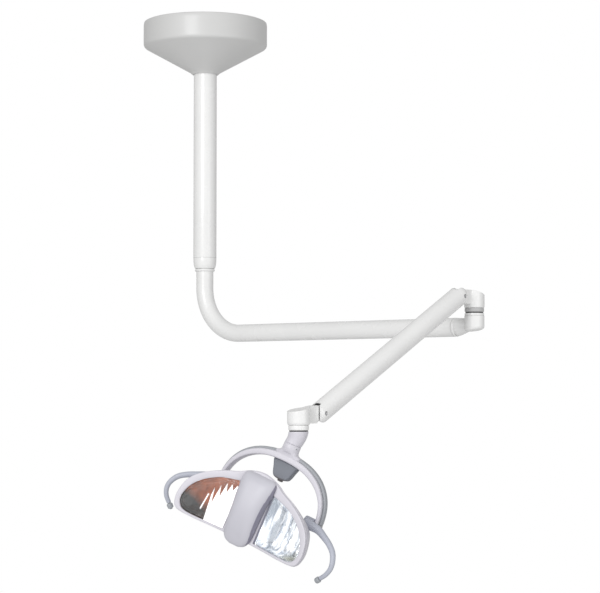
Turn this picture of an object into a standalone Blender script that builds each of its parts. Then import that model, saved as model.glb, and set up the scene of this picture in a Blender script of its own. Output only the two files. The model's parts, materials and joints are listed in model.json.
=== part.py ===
"""Ceiling-mounted operatory light: canopy, drop post, rigid arm, spring arm, yoke and twin-lobe head.

Units are metres, +Z is up.  The origin is the centre of the ceiling plate's top face, on the post's
axis.  Every piece is modelled in the frame of the body that carries it; the empties hold those frames.
"""
import math

import bmesh
import bpy
import numpy as np
from mathutils import Matrix, Vector

# ---------------------------------------------------------------- driving dimensions
GAP = 0.0003                 # running gap between neighbouring solids

CANOPY_RADIUS = 0.162
CANOPY_WALL_Z = -0.064       # lower end of the canopy's cylindrical wall
CANOPY_FOOT_Z = -0.138       # where the cone meets the post
CANOPY_SKIN = 0.0025

PLATE_RADIUS = 0.125
PLATE_THICK = 0.006
BOLT_CIRCLE = 0.098

POST_RADIUS = 0.03015        # 2 inch nominal pipe
POST_WALL = 0.0029
POST_END_Z = -0.6200         # lower end of the pipe, where the end collar starts
POST_GAP_Z = -0.6486         # swivel plane under the end collar

ARM_RADIUS = 0.02222         # 1 3/4 inch tube
ARM_WALL = 0.0022
ARM_AXIS_Z = -0.8197         # height of the rigid arm's horizontal run
ARM_BEND = 0.121
ARM_REACH = 0.8575           # post axis to elbow axis
ARM_HEADING = math.radians(-40.2)

ELBOW_RADIUS = 0.0233
ELBOW_GAP_Z = -0.7867        # swivel plane of the elbow
KNUCKLE_OFFSET = 0.0572      # elbow axis to the spring arm's upper pivot
UPPER_PIVOT_Z = -0.7509

FLEX_HEADING = math.radians(-136.15)
FLEX_DROP = math.radians(30.67)
FLEX_LENGTH = 0.5226         # upper pivot to lower pivot
FLEX_RADIUS = 0.0230
FLEX_WALL = 0.0020
EAR_RADIUS = 0.0172          # half height of the knuckle ears at the pivots
EAR_HALF = 0.0105            # ears reach this far to one side of the arm's middle
CHEEK_REACH = 0.0090         # the shroud's cheeks end upright, this far past each pivot
SHOULDER = 0.0125            # past this distance from its pivot an ear fills the shroud's slot
LINK_DROP = 0.0110           # levelling rod's pivots below the arm's pivots
LINK_SIDE = 0.0078

HEAD_OFFSET = 0.0603         # lower pivot to the head's vertical spindle
HEAD_GAP_Z = -1.0546         # swivel plane of the head
LOWER_BARREL = 0.0245
NECK_RADIUS = 0.0213

NECK_LEAN_HEADING = math.radians(-10.33)
NECK_LEAN = math.radians(23.36)
YOKE_TURN = math.radians(-12.9)
HUB_DISTANCE = 0.0607        # swivel plane to the middle of the yoke's crown, along the leaning axis
YOKE_HALF = 0.1240           # half distance between the yoke's eyes
YOKE_RISE = 0.1050           # pitch axis to the middle of the yoke's crown
YOKE_DEPTH = 0.026
STRIP_HALF = 0.1180          # inner half width and rise of the yoke's arch
STRIP_RISE = 0.0955
POD_MIDDLE = 0.0130          # the switch pod hangs under the crown, this far behind the pitch axis

HEAD_FRONT = -0.0785         # head's front rim, ahead of the pitch axis (local Y)
BEZEL_THICK = 0.0065
WING_ROOT = 0.0402           # beside the bulb cover, where each lobe starts to lean forward
WING_TIP = 0.152
WING_SWEEP = 0.022           # how far ahead of the middle a lobe's outer end lies

# ---------------------------------------------------------------- scene
for old in list(bpy.data.objects):
    bpy.data.objects.remove(old, do_unlink=True)
PARTS = bpy.data.collections.new("ceiling_operatory_light")
CUTTERS = bpy.data.collections.new("cutters")
bpy.context.scene.collection.children.link(PARTS)
bpy.context.scene.collection.children.link(CUTTERS)


def material(name, colour, roughness=0.4, metallic=0.0):
    mat = bpy.data.materials.get(name) or bpy.data.materials.new(name)
    mat.use_nodes = True
    shader = mat.node_tree.nodes["Principled BSDF"]
    shader.inputs["Base Color"].default_value = (*colour, 1.0)
    shader.inputs["Roughness"].default_value = roughness
    shader.inputs["Metallic"].default_value = metallic
    mat.diffuse_color = (*colour, 1.0)
    return mat


ENAMEL = material("white_enamel", (0.84, 0.84, 0.83), 0.30)
CANOPY_ENAMEL = material("canopy_enamel", (0.78, 0.78, 0.77), 0.38)
HEAD_PLASTIC = material("head_plastic", (0.74, 0.73, 0.77), 0.38)
GREY_PLASTIC = material("grey_plastic", (0.52, 0.54, 0.57), 0.45)
HANDLE_PLASTIC = material("handle_plastic", (0.60, 0.61, 0.66), 0.42)
POD_PLASTIC = material("pod_plastic", (0.33, 0.35, 0.39), 0.5)
STEEL = material("zinc_steel", (0.55, 0.55, 0.56), 0.35, 1.0)
DARK = material("black_nylon", (0.03, 0.03, 0.03), 0.6)
MIRROR = material("mirror_metal", (0.90, 0.90, 0.91), 0.06, 1.0)
CLEAR = material("clear_polycarbonate", (0.90, 0.93, 0.95), 0.05)
BRONZE = material("sintered_bronze", (0.55, 0.38, 0.20), 0.45, 1.0)
COPPER = material("copper_winding", (0.60, 0.30, 0.16), 0.4, 1.0)
CERAMIC = material("white_ceramic", (0.85, 0.83, 0.78), 0.5)


# ---------------------------------------------------------------- frames
def frame(name, parent, matrix):
    """An empty that holds one body's frame, given relative to its parent's."""
    empty = bpy.data.objects.new(name, None)
    empty.empty_display_size = 0.03
    PARTS.objects.link(empty)
    empty.parent = parent
    empty.matrix_local = matrix
    return empty


def turn(angle, axis):
    return Matrix.Rotation(angle, 4, axis)


def move(x, y, z):
    return Matrix.Translation(Vector((x, y, z)))


ROOT = frame("root_frame", None, Matrix.Identity(4))
ARM = frame("rigid_arm_frame", ROOT, turn(ARM_HEADING, "Z"))
ELBOW_AT = turn(ARM_HEADING, "Z") @ Vector((ARM_REACH, 0, 0))
ELBOW = frame("elbow_frame", ROOT, move(*ELBOW_AT) @ turn(FLEX_HEADING, "Z"))
FLEX = frame("spring_arm_frame", ELBOW,
             move(KNUCKLE_OFFSET, 0, UPPER_PIVOT_Z) @ turn(FLEX_DROP, "Y"))
LINK = frame("levelling_rod_frame", ELBOW,
             move(KNUCKLE_OFFSET, 0, UPPER_PIVOT_Z - LINK_DROP) @ turn(FLEX_DROP, "Y"))
LOWER_X = KNUCKLE_OFFSET + FLEX_LENGTH * math.cos(FLEX_DROP)
LOWER_Z = UPPER_PIVOT_Z - FLEX_LENGTH * math.sin(FLEX_DROP)
LOWER = frame("lower_knuckle_frame", ELBOW, move(LOWER_X, 0, LOWER_Z))
NECK_AT = ELBOW_AT + turn(FLEX_HEADING, "Z") @ Vector((LOWER_X + HEAD_OFFSET, 0, 0))
NECK = frame("neck_frame", ROOT, move(NECK_AT.x, NECK_AT.y, HEAD_GAP_Z))
LEAN = turn(NECK_LEAN_HEADING, "Z") @ turn(NECK_LEAN, "Y") @ turn(YOKE_TURN, "Z")
YOKE = frame("yoke_frame", NECK, LEAN @ move(0, 0, -HUB_DISTANCE - YOKE_RISE))
HEAD = frame("head_frame", YOKE, Matrix.Identity(4))
SWITCH = frame("switch_frame", YOKE, Matrix.Identity(4))


# ---------------------------------------------------------------- modelling helpers
def add(name, mesh, parent, mat, local=None):
    obj = bpy.data.objects.new(name, mesh)
    PARTS.objects.link(obj)
    obj.parent = parent
    obj.matrix_local = local or Matrix.Identity(4)
    if mat is not None:
        mesh.materials.clear()
        mesh.materials.append(mat)
    return obj


def from_bmesh(name, bm, parent, mat, local=None, smooth=35):
    bmesh.ops.recalc_face_normals(bm, faces=bm.faces)
    mesh = bpy.data.meshes.new(name)
    bm.to_mesh(mesh)
    bm.free()
    if smooth:
        mesh.shade_smooth()
        mesh.set_sharp_from_angle(angle=math.radians(smooth))
    return add(name, mesh, parent, mat, local)


def bevelled(obj, width, segments=2, angle=35):
    mod = obj.modifiers.new("edges", "BEVEL")
    mod.width = width
    mod.segments = segments
    mod.limit_method = "ANGLE"
    mod.angle_limit = math.radians(angle)
    mod.use_clamp_overlap = True
    return obj


def turned(name, profile, parent, mat, local=None, steps=24, skin=0.0):
    """Revolve an (r, z) profile about local Z.  It runs down its outer side, then up its inner side."""
    closed = skin == 0.0
    mesh = bpy.data.meshes.new(name)
    count = len(profile)
    edges = [(i, i + 1) for i in range(count - 1)]
    if closed and not (profile[0][0] == 0.0 and profile[-1][0] == 0.0):
        edges.append((count - 1, 0))
    mesh.from_pydata([(r, 0.0, z) for r, z in profile], edges, [])
    obj = add(name, mesh, parent, mat, local)
    screw = obj.modifiers.new("revolve", "SCREW")
    screw.axis = "Z"
    screw.angle = math.tau
    screw.steps = steps
    screw.render_steps = steps
    screw.use_merge_vertices = True
    screw.merge_threshold = 0.00005
    screw.use_smooth_shade = True
    if skin:
        shell = obj.modifiers.new("skin", "SOLIDIFY")
        shell.thickness = skin
        shell.offset = -1.0
        shell.use_even_offset = True
    return obj


def cylinder(name, radius, length, parent, mat, local=None, sides=32, radius_top=None, bevel=0.0):
    """A cylinder or cone centred on its frame, along local Z."""
    bm = bmesh.new()
    top = radius if radius_top is None else radius_top
    bmesh.ops.create_cone(bm, cap_ends=True, segments=sides, radius1=radius, radius2=top, depth=length)
    obj = from_bmesh(name, bm, parent, mat, local)
    return bevelled(obj, bevel) if bevel else obj


def block(name, size, parent, mat, local=None, bevel=0.0, segments=2):
    bm = bmesh.new()
    bmesh.ops.create_cube(bm, size=1.0)
    bmesh.ops.scale(bm, vec=Vector(size), verts=bm.verts)
    obj = from_bmesh(name, bm, parent, mat, local)
    return bevelled(obj, bevel, segments) if bevel else obj


def ball(name, radius, parent, mat, local=None, sides=16, squash=(1, 1, 1)):
    bm = bmesh.new()
    bmesh.ops.create_uvsphere(bm, u_segments=sides, v_segments=sides // 2, radius=radius)
    bmesh.ops.scale(bm, vec=Vector(squash), verts=bm.verts)
    return from_bmesh(name, bm, parent, mat, local, smooth=60)


def extruded(name, loops, thickness, parent, mat, local=None, edge=0.0, edge_segments=1):
    """A flat outline in local X-Y with holes, thickened along local Z about its middle."""
    curve = bpy.data.curves.new(name, "CURVE")
    curve.dimensions = "2D"
    curve.fill_mode = "BOTH"
    for loop in loops:
        spline = curve.splines.new("POLY")
        spline.points.add(len(loop) - 1)
        for point, (x, y) in zip(spline.points, loop):
            point.co = (x, y, 0.0, 1.0)
        spline.use_cyclic_u = True
    curve.extrude = thickness / 2 - edge
    curve.bevel_depth = edge
    curve.bevel_resolution = edge_segments
    curve.offset = -edge
    source = bpy.data.objects.new(name + "_outline", curve)
    PARTS.objects.link(source)
    return meshed(source, name, parent, mat, local)


def meshed(source, name, parent, mat, local=None, smooth=40):
    """Turn a curve object into a welded mesh object and remove the curve."""
    bpy.context.view_layer.update()
    evaluated = source.evaluated_get(bpy.context.evaluated_depsgraph_get())
    mesh = bpy.data.meshes.new_from_object(evaluated)
    mesh.name = name
    bm = bmesh.new()
    bm.from_mesh(mesh)
    bmesh.ops.remove_doubles(bm, verts=bm.verts, dist=0.00002)
    bmesh.ops.recalc_face_normals(bm, faces=bm.faces)
    bm.to_mesh(mesh)
    bm.free()
    mesh.shade_smooth()
    mesh.set_sharp_from_angle(angle=math.radians(smooth))
    curve = source.data
    bpy.data.objects.remove(source, do_unlink=True)
    bpy.data.curves.remove(curve)
    return add(name, mesh, parent, mat, local)


def rod(name, points, radius, parent, mat, local=None, radii=None, resolution=3, caps=True, cyclic=False):
    """A round bar or tube along a polyline, with an optional radius factor at each point."""
    curve = bpy.data.curves.new(name, "CURVE")
    curve.dimensions = "3D"
    curve.bevel_depth = radius
    curve.bevel_resolution = resolution
    curve.use_fill_caps = caps
    spline = curve.splines.new("POLY")
    spline.points.add(len(points) - 1)
    for i, point in enumerate(points):
        spline.points[i].co = (*point, 1.0)
        spline.points[i].radius = radii[i] if radii else 1.0
    spline.use_cyclic_u = cyclic
    source = bpy.data.objects.new(name + "_path", curve)
    PARTS.objects.link(source)
    return meshed(source, name, parent, mat, local)


def cutter(obj):
    """Move an object to the cutters' collection, hidden from renders."""
    PARTS.objects.unlink(obj)
    CUTTERS.objects.link(obj)
    obj.display_type = "WIRE"
    obj.hide_render = True
    return obj


def combine(obj, tool, operation="DIFFERENCE"):
    mod = obj.modifiers.new(operation.lower() + "_" + tool.name, "BOOLEAN")
    mod.operation = operation
    mod.solver = "EXACT"
    mod.object = tool if tool.hide_render else cutter(tool)
    return obj


def join(obj, tool):
    return combine(obj, tool, "UNION")


def smooth_path(knots, per_span=6, closed=False):
    """Catmull-Rom points through the knots; works for any number of coordinates."""
    pts = np.array(knots, float)
    count = len(pts)
    spans = count if closed else count - 1
    out = []
    for i in range(spans):
        if closed:
            p0, p1, p2, p3 = (pts[(i + k - 1) % count] for k in range(4))
        else:
            p0, p1 = pts[max(i - 1, 0)], pts[i]
            p2, p3 = pts[i + 1], pts[min(i + 2, count - 1)]
        for t in np.arange(per_span) / per_span:
            out.append(0.5 * (2 * p1 + (p2 - p0) * t + (2 * p0 - 5 * p1 + 4 * p2 - p3) * t ** 2
                              + (3 * p1 - p0 - 3 * p2 + p3) * t ** 3))
    if not closed:
        out.append(pts[-1])
    return [tuple(float(c) for c in p) for p in out]


def loft(name, sections, parent, mat, local=None, cap_start=True, cap_end=True, smooth=50):
    """A skin over equal-length closed sections."""
    bm = bmesh.new()
    rings = [[bm.verts.new(p) for p in section] for section in sections]
    size = len(rings[0])
    for lower, upper in zip(rings, rings[1:]):
        for i in range(size):
            j = (i + 1) % size
            bm.faces.new((lower[i], lower[j], upper[j], upper[i]))
    if cap_start:
        bm.faces.new(list(reversed(rings[0])))
    if cap_end:
        bm.faces.new(rings[-1])
    return from_bmesh(name, bm, parent, mat, local, smooth)


def double_wall(name, outer, inner, parent, mat, local=None, smooth=50):
    """A bowl with real wall thickness: outer and inner skins, closed at the last ring, joined at the first."""
    bm = bmesh.new()
    skins = []
    for sections in (outer, inner):
        rings = [[bm.verts.new(p) for p in section] for section in sections]
        size = len(rings[0])
        for lower, upper in zip(rings, rings[1:]):
            for i in range(size):
                j = (i + 1) % size
                bm.faces.new((lower[i], lower[j], upper[j], upper[i]))
        bm.faces.new(rings[-1])
        skins.append(rings[0])
    for i in range(size):
        j = (i + 1) % size
        bm.faces.new((skins[0][i], skins[0][j], skins[1][j], skins[1][i]))
    return from_bmesh(name, bm, parent, mat, local, smooth)


def skinned(obj, thickness, offset=-1.0):
    shell = obj.modifiers.new("skin", "SOLIDIFY")
    shell.thickness = thickness
    shell.offset = offset
    shell.use_even_offset = True
    return obj


def arc(cx, cy, radius, start, end, steps):
    """Points on an arc, angles in degrees."""
    angles = [math.radians(start + (end - start) * k / steps) for k in range(steps + 1)]
    return [(cx + radius * math.cos(a), cy + radius * math.sin(a)) for a in angles]


FACING_Y = turn(math.pi / 2, "X")      # a flat outline's X-Y becomes X-Z, its thickness runs along Y
ALONG_X = turn(math.pi / 2, "Y")       # a turned piece's axis runs along X
ALONG_Y = turn(-math.pi / 2, "X")      # a turned piece's axis runs along Y


# ---------------------------------------------------------------- ceiling end
def build_ceiling():
    plate = cylinder("ceiling_plate", PLATE_RADIUS, PLATE_THICK, ROOT, STEEL,
                     move(0, 0, -PLATE_THICK / 2), sides=32)
    for k in range(4):
        angle = math.radians(45 + 90 * k)
        x, y = BOLT_CIRCLE * math.cos(angle), BOLT_CIRCLE * math.sin(angle)
        hole = cylinder(f"plate_hole_{k}", 0.0045, 0.02, ROOT, None, move(x, y, -0.003), sides=16)
        combine(plate, hole)
        profile = [(0.0, -0.0006), (0.0041, -0.0006), (0.0041, -PLATE_THICK - GAP),
                   (0.0085, -PLATE_THICK - GAP), (0.0085, -0.0115), (0.0070, -0.0128), (0.0, -0.0128)]
        turned(f"ceiling_bolt_{k + 1}", profile, ROOT, STEEL, move(x, y, 0), steps=12)
    entry = cylinder("plate_cable_entry", 0.010, 0.02, ROOT, None, move(-0.088, 0, -0.003), sides=16)
    combine(plate, entry)

    top = -PLATE_THICK - GAP
    turned("post_flange", [(0.074, top), (0.074, -0.0145), (0.042, -0.0145), (0.0375, -0.018),
                           (0.0365, -0.055), (POST_RADIUS + GAP, -0.055), (POST_RADIUS + GAP, top)],
           ROOT, STEEL, steps=24)
    inner = POST_RADIUS - POST_WALL
    turned("post_tube", [(POST_RADIUS, top - GAP), (POST_RADIUS, POST_END_Z), (inner, POST_END_Z),
                         (inner, top - GAP)], ROOT, ENAMEL, steps=28)

    wall = [(CANOPY_RADIUS - 0.005, -0.0008), (CANOPY_RADIUS - 0.0015, -0.003), (CANOPY_RADIUS, -0.008)]
    wall += [(CANOPY_RADIUS, CANOPY_WALL_Z + 0.012), (CANOPY_RADIUS - 0.0012, CANOPY_WALL_Z + 0.004),
             (CANOPY_RADIUS - 0.0050, CANOPY_WALL_Z - 0.002), (CANOPY_RADIUS - 0.012, CANOPY_WALL_Z - 0.0065)]
    wall += [(0.0375, CANOPY_FOOT_Z + 0.0045), (POST_RADIUS + CANOPY_SKIN + 0.0008, CANOPY_FOOT_Z)]
    turned("canopy", wall, ROOT, CANOPY_ENAMEL, steps=40, skin=CANOPY_SKIN)

    place = move(0.086, 0, -0.045)
    block("transformer_core", (0.052, 0.044, 0.040), ROOT, STEEL, place, bevel=0.002)
    coil = block("transformer_winding", (0.030, 0.058, 0.052), ROOT, COPPER, place, bevel=0.005)
    window = block("winding_window", (0.0526, 0.0446, 0.0406), ROOT, None, place)
    combine(coil, window)
    block("terminal_block", (0.018, 0.052, 0.014), ROOT, CERAMIC, move(-0.060, 0.040, -0.0135 - 0.0085),
          bevel=0.0015)


def build_post_end():
    """The collar that closes the pipe, its two bushes, and the stop for the arm's swivel."""
    inside = POST_RADIUS - POST_WALL - GAP
    turned("post_end_collar", [
        (inside, POST_END_Z + 0.030), (inside, POST_END_Z - GAP), (POST_RADIUS, POST_END_Z - GAP),
        (POST_RADIUS - 0.0003, POST_END_Z - 0.011), (POST_RADIUS - 0.0013, POST_END_Z - 0.019),
        (POST_RADIUS - 0.0030, POST_END_Z - 0.0250), (POST_RADIUS - 0.0042, POST_GAP_Z + GAP),
        (0.0234, POST_GAP_Z + GAP), (0.0234, POST_GAP_Z + 0.0062), (0.0256, POST_GAP_Z + 0.0062),
        (0.0256, POST_END_Z + 0.030)], ROOT, ENAMEL, steps=28)
    turned("lower_bush", [(0.0253, POST_END_Z + 0.029), (0.0253, POST_GAP_Z + 0.0066),
                          (ARM_RADIUS + GAP, POST_GAP_Z + 0.0066), (ARM_RADIUS + GAP, POST_END_Z + 0.029)],
           ROOT, BRONZE, steps=24)
    turned("upper_bush", [(inside, -0.512), (inside, -0.534), (ARM_RADIUS + GAP, -0.534),
                          (ARM_RADIUS + GAP, -0.512)], ROOT, BRONZE, steps=24)


# ---------------------------------------------------------------- rigid arm
def build_rigid_arm():
    bend_start = ARM_AXIS_Z + ARM_BEND
    path = [(0, 0, -0.4995), (0, 0, bend_start + 0.002)]
    for k in range(10):
        a = math.radians(90 * k / 9)
        path.append((ARM_BEND * (1 - math.cos(a)), 0, bend_start - ARM_BEND * math.sin(a)))
    sleeve_x = ARM_REACH - 0.0540
    path += [(ARM_BEND + 0.002, 0, ARM_AXIS_Z), (sleeve_x, 0, ARM_AXIS_Z)]
    tube = rod("rigid_arm_tube", path, ARM_RADIUS, ARM, ENAMEL, resolution=4, caps=False)
    skinned(tube, ARM_WALL)

    turned("arm_retaining_ring", [(0.0264, -0.5020), (0.0264, -0.5115), (ARM_RADIUS + GAP, -0.5115),
                                  (ARM_RADIUS + GAP, -0.5020)], ARM, STEEL, steps=24)
    turned("arm_thrust_ring", [(0.0250, POST_GAP_Z - 0.0012), (0.0256, POST_GAP_Z - 0.0022),
                               (0.0256, POST_GAP_Z - 0.0062), (0.0238, POST_GAP_Z - 0.0078),
                               (ARM_RADIUS + GAP, POST_GAP_Z - 0.0078),
                               (ARM_RADIUS + GAP, POST_GAP_Z - 0.0012)], ARM, ENAMEL, steps=24)

    # elbow casting: a socket boss on the tube's end that turns into an upright barrel
    barrel_top = ELBOW_GAP_Z - 0.0068
    barrel_bottom = ARM_AXIS_Z - 0.0090
    casting = turned("elbow_casting", [
        (0.0, barrel_top), (ELBOW_RADIUS, barrel_top), (ELBOW_RADIUS, barrel_bottom + 0.010),
        (ELBOW_RADIUS - 0.0022, barrel_bottom + 0.003), (ELBOW_RADIUS - 0.0085, barrel_bottom),
        (0.0, barrel_bottom)], ARM, ENAMEL, move(ARM_REACH, 0, 0), steps=24)
    boss = turned("elbow_boss", [
        (0.0, 0.0010), (ARM_RADIUS, 0.0010), (ARM_RADIUS, -0.004), (0.0185, -0.004), (0.0185, -0.030),
        (0.0, -0.030)], ARM, None, move(sleeve_x + 0.0043, 0, ARM_AXIS_Z) @ ALONG_X, steps=24)
    join(casting, boss)
    neck = turned("elbow_neck", [(0.0, 0.0370), (0.0110, 0.0370), (0.0155, 0.0340), (0.0216, 0.0030),
                                  (0.0213, 0.0005), (0.0, 0.0005)], ARM, None,
                  move(sleeve_x + 0.0043, 0, ARM_AXIS_Z) @ turn(math.radians(-8.5), "Y") @ ALONG_X, steps=24)
    join(casting, neck)
    bore = cylinder("elbow_bore", 0.0104, 0.060, ARM, None, move(ARM_REACH, 0, barrel_top - 0.002), sides=24)
    combine(casting, bore)
    turned("elbow_pin", [(0.0, -0.7560), (0.0095, -0.7560), (0.0100, -0.7570), (0.0100, barrel_top - 0.0300),
                         (0.0, barrel_top - 0.0300)], ARM, STEEL, move(ARM_REACH, 0, 0), steps=24)
    turned("elbow_lower_ring", [(0.0222, ELBOW_GAP_Z - 0.0014), (0.0226, ELBOW_GAP_Z - 0.0020),
                                (0.0226, barrel_top + GAP), (0.0103, barrel_top + GAP),
                                (0.0103, ELBOW_GAP_Z - 0.0014)], ARM, ENAMEL, move(ARM_REACH, 0, 0), steps=24)


# ---------------------------------------------------------------- elbow and spring arm
def ear_outline(reach, radius, root_half):
    """Side view of a knuckle ear: round about the pivot at (0, 0), widening towards x = reach."""
    points = arc(0, 0, radius, 90, 270, 12)
    points += [(reach, -root_half), (reach, root_half)]
    return points


def build_elbow():
    turned("elbow_washer", [(0.0206, ELBOW_GAP_Z + 0.0010), (0.0206, ELBOW_GAP_Z - 0.0010),
                            (0.0103, ELBOW_GAP_Z - 0.0010), (0.0103, ELBOW_GAP_Z + 0.0010)],
           ELBOW, DARK, steps=24)
    ring_top = ELBOW_GAP_Z + 0.0105
    turned("elbow_upper_ring", [(0.0222, ring_top), (0.0226, ring_top - 0.001), (0.0226, ELBOW_GAP_Z + 0.0020),
                                (0.0220, ELBOW_GAP_Z + 0.0014), (0.0103, ELBOW_GAP_Z + 0.0014),
                                (0.0103, ring_top)], ELBOW, GREY_PLASTIC, steps=24)
    base = ring_top + GAP
    knuckle = turned("upper_knuckle", [
        (0.0, -0.7335), (0.0165, -0.7340), (0.0215, -0.7370), (0.0238, -0.7430), (0.0238, -0.7660), (0.0226, base + 0.001), (0.0220, base), (0.0, base)], ELBOW, ENAMEL, steps=24)
    ear = extruded("upper_ear", [ear_outline(KNUCKLE_OFFSET - 0.006, EAR_RADIUS, 0.0135)],
                   EAR_HALF + 0.004, ELBOW, None,
                   move(KNUCKLE_OFFSET, -(EAR_HALF - 0.004) / 2, UPPER_PIVOT_Z) @ turn(math.pi, "Z") @ FACING_Y)
    join(knuckle, ear)
    join(knuckle, block("upper_shoulder", (KNUCKLE_OFFSET - SHOULDER, 2 * EAR_HALF, 0.0365), ELBOW, None,
                        move((KNUCKLE_OFFSET - SHOULDER) / 2, 0, UPPER_PIVOT_Z - 0.0012)))
    slant = math.radians(-18.5)
    combine(knuckle, block("upper_slant", (0.090, 0.060, 0.040), ELBOW, None,
                           move(-0.020, 0, -0.7480) @ turn(slant, "Y") @ move(0, 0, 0.0200)))
    combine(knuckle, cylinder("upper_pin_bore", 0.0044, 0.04, ELBOW, None,
                              move(KNUCKLE_OFFSET, 0, UPPER_PIVOT_Z) @ ALONG_Y, sides=16))
    combine(knuckle, cylinder("upper_spindle_bore", 0.0104, 0.0475, ELBOW, None, move(0, 0, -0.7790), sides=24))
    stud = cylinder("upper_link_stud", 0.0022, 0.0104, ELBOW, None,
                    move(KNUCKLE_OFFSET, LINK_SIDE - 0.0008, UPPER_PIVOT_Z - LINK_DROP) @ ALONG_Y, sides=12)
    join(knuckle, stud)


def pin(name, half, parent, local):
    """A shouldered pivot pin along local Y with a shallow head at each end."""
    turned(name, [(0.0, half), (0.0040, half), (0.0040, -half), (0.0, -half)], parent, STEEL,
           local @ ALONG_Y, steps=16)


def build_spring_arm():
    end = FLEX_LENGTH
    outer, inner = FLEX_RADIUS, FLEX_RADIUS - FLEX_WALL

    def capsule(radius, back, front, steps=6):
        first = [(radius * math.sin(math.radians(a)), front + radius * math.cos(math.radians(a)))
                 for a in np.linspace(0, 90, steps)]
        second = [(radius * math.sin(math.radians(a)), back + radius * math.cos(math.radians(a)))
                  for a in np.linspace(90, 180, steps)]
        points = first + second
        points[0] = (0.0, points[0][1])
        points[-1] = (0.0, points[-1][1])
        return points

    shroud = turned("spring_arm_shroud", capsule(outer, 0.0, end), FLEX, ENAMEL, ALONG_X, steps=24)
    hollow = turned("shroud_hollow", capsule(inner, 0.0, end), FLEX, None, ALONG_X, steps=24)
    combine(shroud, hollow)
    for tag, x, past in (("upper", 0.0, -1), ("lower", end, 1)):
        slot = block(f"shroud_slot_{tag}", (0.040, 2 * (EAR_HALF + 0.0012), 0.060), FLEX, None,
                     move(x + past * 0.013, 0, 0))
        combine(shroud, slot)
        upright = block(f"shroud_end_{tag}", (0.060, 0.080, 0.120), FLEX, None,
                        move(x, 0, 0) @ turn(-FLEX_DROP, "Y") @ move(past * (CHEEK_REACH + 0.030), 0, 0))
        combine(shroud, upright)
    for tag, x in (("upper", 0.0), ("lower", end)):
        hole = cylinder(f"shroud_pin_hole_{tag}", 0.0044, 0.06, FLEX, None, move(x, 0, 0) @ ALONG_Y, sides=16)
        combine(shroud, hole)
    pin("upper_pivot_pin", 0.0222, FLEX, Matrix.Identity(4))
    pin("lower_pivot_pin", 0.0222, FLEX, move(end, 0, 0))

    # balance spring, its tie rod, seat and adjusting nut, beside the levelling rod
    side, height = -0.0035, 0.0080
    start, stop, turns = 0.105, 0.345, 12
    count = turns * 7
    helix = []
    for k in range(count + 1):
        a = math.tau * turns * k / count
        helix.append((start + (stop - start) * k / count, side + 0.0072 * math.cos(a),
                      height + 0.0072 * math.sin(a)))
    rod("balance_spring", helix, 0.0014, FLEX, STEEL, resolution=1)
    lay = move(0, side, height) @ ALONG_X
    turned("spring_tie_rod", [(0.0, 0.392), (0.0026, 0.392), (0.0026, 0.072), (0.0, 0.072)], FLEX, STEEL,
           lay, steps=12)
    turned("spring_seat", [(0.0098, start - 0.0022), (0.0098, start - 0.0062), (0.0030, start - 0.0062),
                           (0.0030, start - 0.0022)], FLEX, STEEL, lay, steps=24)
    turned("spring_adjusting_nut", [(0.0088, stop + 0.0122), (0.0088, stop + 0.0022), (0.0030, stop + 0.0022),
                                    (0.0030, stop + 0.0122)], FLEX, STEEL, lay, steps=6)

    link = rod("levelling_rod", [(0.0030, 0, 0), (end - 0.0030, 0, 0)], 0.0022, LINK, STEEL,
               move(0, LINK_SIDE, 0), resolution=2)
    for tag, x in (("upper", 0.0), ("lower", end)):
        join(link, cylinder(f"rod_eye_{tag}", 0.0050, 0.0052, LINK, None, move(x, LINK_SIDE, 0) @ ALONG_Y,
                            sides=16))
    for tag, x in (("upper", 0.0), ("lower", end)):
        combine(link, cylinder(f"rod_hole_{tag}", 0.0026, 0.02, LINK, None, move(x, LINK_SIDE, 0) @ ALONG_Y,
                               sides=16))


def build_lower_knuckle():
    top = -1.0085 - LOWER_Z
    bottom = -1.0425 - LOWER_Z
    knuckle = turned("lower_knuckle", [
        (0.0, top + 0.0060), (0.0190, top + 0.0055), (0.0230, top + 0.0025), (LOWER_BARREL, top - 0.0060),
        (LOWER_BARREL, bottom + 0.0045), (0.0230, bottom + 0.0010),
        (0.0222, bottom), (0.0, bottom)], LOWER, ENAMEL, move(HEAD_OFFSET, 0, 0), steps=24)
    ear = extruded("lower_ear", [ear_outline(HEAD_OFFSET - 0.006, EAR_RADIUS, 0.0140)],
                   EAR_HALF + 0.004, LOWER, None, move(0, -(EAR_HALF - 0.004) / 2, 0) @ FACING_Y)
    join(knuckle, ear)
    join(knuckle, block("lower_shoulder", (HEAD_OFFSET - SHOULDER, 2 * EAR_HALF, 0.0385), LOWER, None,
                        move((HEAD_OFFSET + SHOULDER) / 2, 0, -0.0023)))
    combine(knuckle, block("lower_slant", (0.120, 0.070, 0.040), LOWER, None,
                           move(HEAD_OFFSET, 0, top - 0.0003) @ turn(math.radians(11.9), "Y") @ move(0, 0, 0.0200)))
    combine(knuckle, cylinder("lower_pin_bore", 0.0044, 0.04, LOWER, None, ALONG_Y, sides=16))
    combine(knuckle, cylinder("head_spindle_bore", 0.0098, 0.052, LOWER, None,
                              move(HEAD_OFFSET, 0, bottom + 0.001), sides=24))
    join(knuckle, cylinder("lower_link_stud", 0.0022, 0.0104, LOWER, None,
                           move(0, LINK_SIDE - 0.0008, -LINK_DROP) @ ALONG_Y, sides=12))
    gap = HEAD_GAP_Z - LOWER_Z
    turned("neck_upper_ring", [(0.0214, bottom - GAP), (0.0218, bottom - 0.001), (0.0218, gap + 0.0022),
                               (0.0212, gap + 0.0014), (0.0100, gap + 0.0014), (0.0100, bottom - GAP)],
           LOWER, ENAMEL, move(HEAD_OFFSET, 0, 0), steps=24)


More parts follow.
